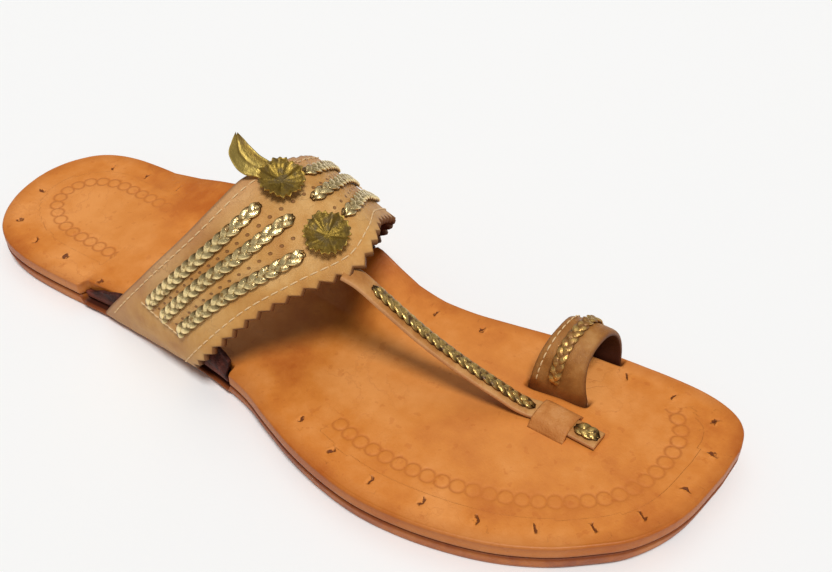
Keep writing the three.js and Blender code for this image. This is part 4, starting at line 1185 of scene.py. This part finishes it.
def leaf_faces():
    """The two faces of the leaf: rows along its length from the table, and across it a curl that
    lifts both edges by the square of their distance from the middle."""
    centre, ahead, side, up = vamp_seat(*leaf_place)
    lateralwards = unit(np.cross(side, up))
    rows = at_shares(smooth_path(leaf_rows), np.linspace(0, 1, 60))
    run, lateral, medial, rise, roll = rows.T
    across = np.linspace(-1, 1, 25)
    half = (lateral + medial) / 2 * leaf_width
    middle = (lateral - medial) / 2 * leaf_width
    x = middle[:, None] + half[:, None] * across[None]
    curl = 0.9 * smooth_step(0.35, 0.8, run)[:, None] * across[None] ** 2
    fold = 0.35 * smooth_step(0.4, 0.7, run)[:, None] * np.exp(-(across[None] / 0.15) ** 2)
    z = rise[:, None] * leaf_length + roll[:, None] * leaf_width * across[None] + curl - fold
    grid = centre - side * (run * leaf_length)[:, None, None]
    grid = grid + lateralwards * x[..., None] + up * z[..., None]
    # painted shade: darker over the medial half and along the middle fold, with the rim left bare
    vein = 0.8 * np.exp(-(across[None] / 0.08) ** 2)
    shade = np.clip(0.85 * smooth_step(0.1, -0.75, across)[None] + vein, 0, 1)
    return grid + up * 0.6, grid + up * 0.05, shade * np.ones_like(x) * (np.abs(across) < 0.9)[None]


leaf_over, leaf_under, leaf_shade = leaf_faces()
leaf = sheet_object("leaf_blade", walled(leaf_over, leaf_under), wrap=True,
                    values={"middle": walled_values(leaf_shade)})
# the leaf is painted darker where leaf_shade is high: painted shade
leaf_foil = foil_finish("leaf_foil", (196, 170, 92), (142, 116, 46), 0.48, 0.4, "middle", (112, 86, 34))
finish_piece(leaf, leaf_foil, ["leaf"])

# Thread: waxed cream thread in running stitches, 3 mm from the vamp's back edge, 5 mm from its
# pinked edge, across the ends of the plaits, and along the toe ring's back edge.
thread_radius = 0.25


def stitch_rings(path, up, pitch, length):
    """Stitches along a path: each is a thin tube whose ends dive into the leather, in a half wave."""
    run = run_of(path)
    count = int(run[-1] // pitch)
    starts = (np.arange(count) + 0.5) * pitch
    share = np.linspace(-0.5, 0.5, 9)
    wanted = starts[:, None] + share[None] * length
    centre = np.stack([np.interp(wanted, run, path[:, k]) for k in range(3)], axis=-1)
    high = np.stack([np.interp(wanted, run, up[:, k]) for k in range(3)], axis=-1)
    centre = centre + high * (0.3 * np.cos(np.pi * share) ** 0.5 - 0.12)[None, :, None]
    ahead = unit(np.gradient(centre, axis=1))
    side = unit(np.cross(ahead, high))
    angle = np.linspace(0, 2 * np.pi, 6, endpoint=False)
    body = (0.35 + 0.65 * np.cos(np.pi * share) ** 0.5) * thread_radius
    across = (body[:, None] * np.cos(angle))[None, :, :, None]
    over = (body[:, None] * np.sin(angle))[None, :, :, None]
    top = unit(np.cross(side, ahead))
    return centre[:, :, None] + side[:, :, None] * across + top[:, :, None] * over


def stitches(name, path, up, pitch, length):
    """One object of all the stitches of a run."""
    rings = enumerate(stitch_rings(path, up, pitch, length))
    return join([sheet_object(f"{name}_{number}", ring, wrap=True) for number, ring in rings], name)


thread = bpy.data.materials.new("cream_thread")
thread.use_nodes = True
thread_tree = thread.node_tree
thread_shader = thread_tree.nodes["Principled BSDF"]
thread_shader.inputs["Roughness"].default_value = 0.6
thread_ramp = thread_tree.nodes.new("ShaderNodeValToRGB")
thread_ramp.color_ramp.elements[0].color = linear(206, 160, 104)
thread_ramp.color_ramp.elements[1].color = linear(240, 210, 160)
object_noise(thread_tree, 3200.0, 2.0, 0.5).feed(thread_ramp.inputs["Fac"])
thread_tree.links.new(thread_ramp.outputs["Color"], thread_shader.inputs["Base Color"])

# the place of each running stitch along the vamp, from 0 at its back edge to 1 at its front edge
for name, place in (("stitch_back", 0.075), ("stitch_front", 0.88)):
    around = np.linspace(0.03, 0.97, 400)
    path = vamp_at(around, place, crease(around, place))
    run_stitch = stitches(name, path, vamp_up(around, place), 3.1, 2.6)
    finish_piece(run_stitch, thread, [])
for name, start in (("stitch_lateral_end", 0.139), ("stitch_medial_end", 0.815)):
    line = np.linspace(0.2, 0.76, 200)
    around = np.full_like(line, start)
    end_stitch = stitches(name, vamp_at(around, line, 0.75), vamp_up(around, line), 2.2, 2.0)
    finish_piece(end_stitch, thread, [])
around = np.linspace(0.14, 0.86, 200)
up = unit(ring_at(around, 0.12, 1.0) - ring_at(around, 0.12, 0.0))
ring_stitch = stitches("stitch_ring_back", ring_at(around, 0.12, 0.12), up, 2.6, 2.1)
finish_piece(ring_stitch, thread, [])
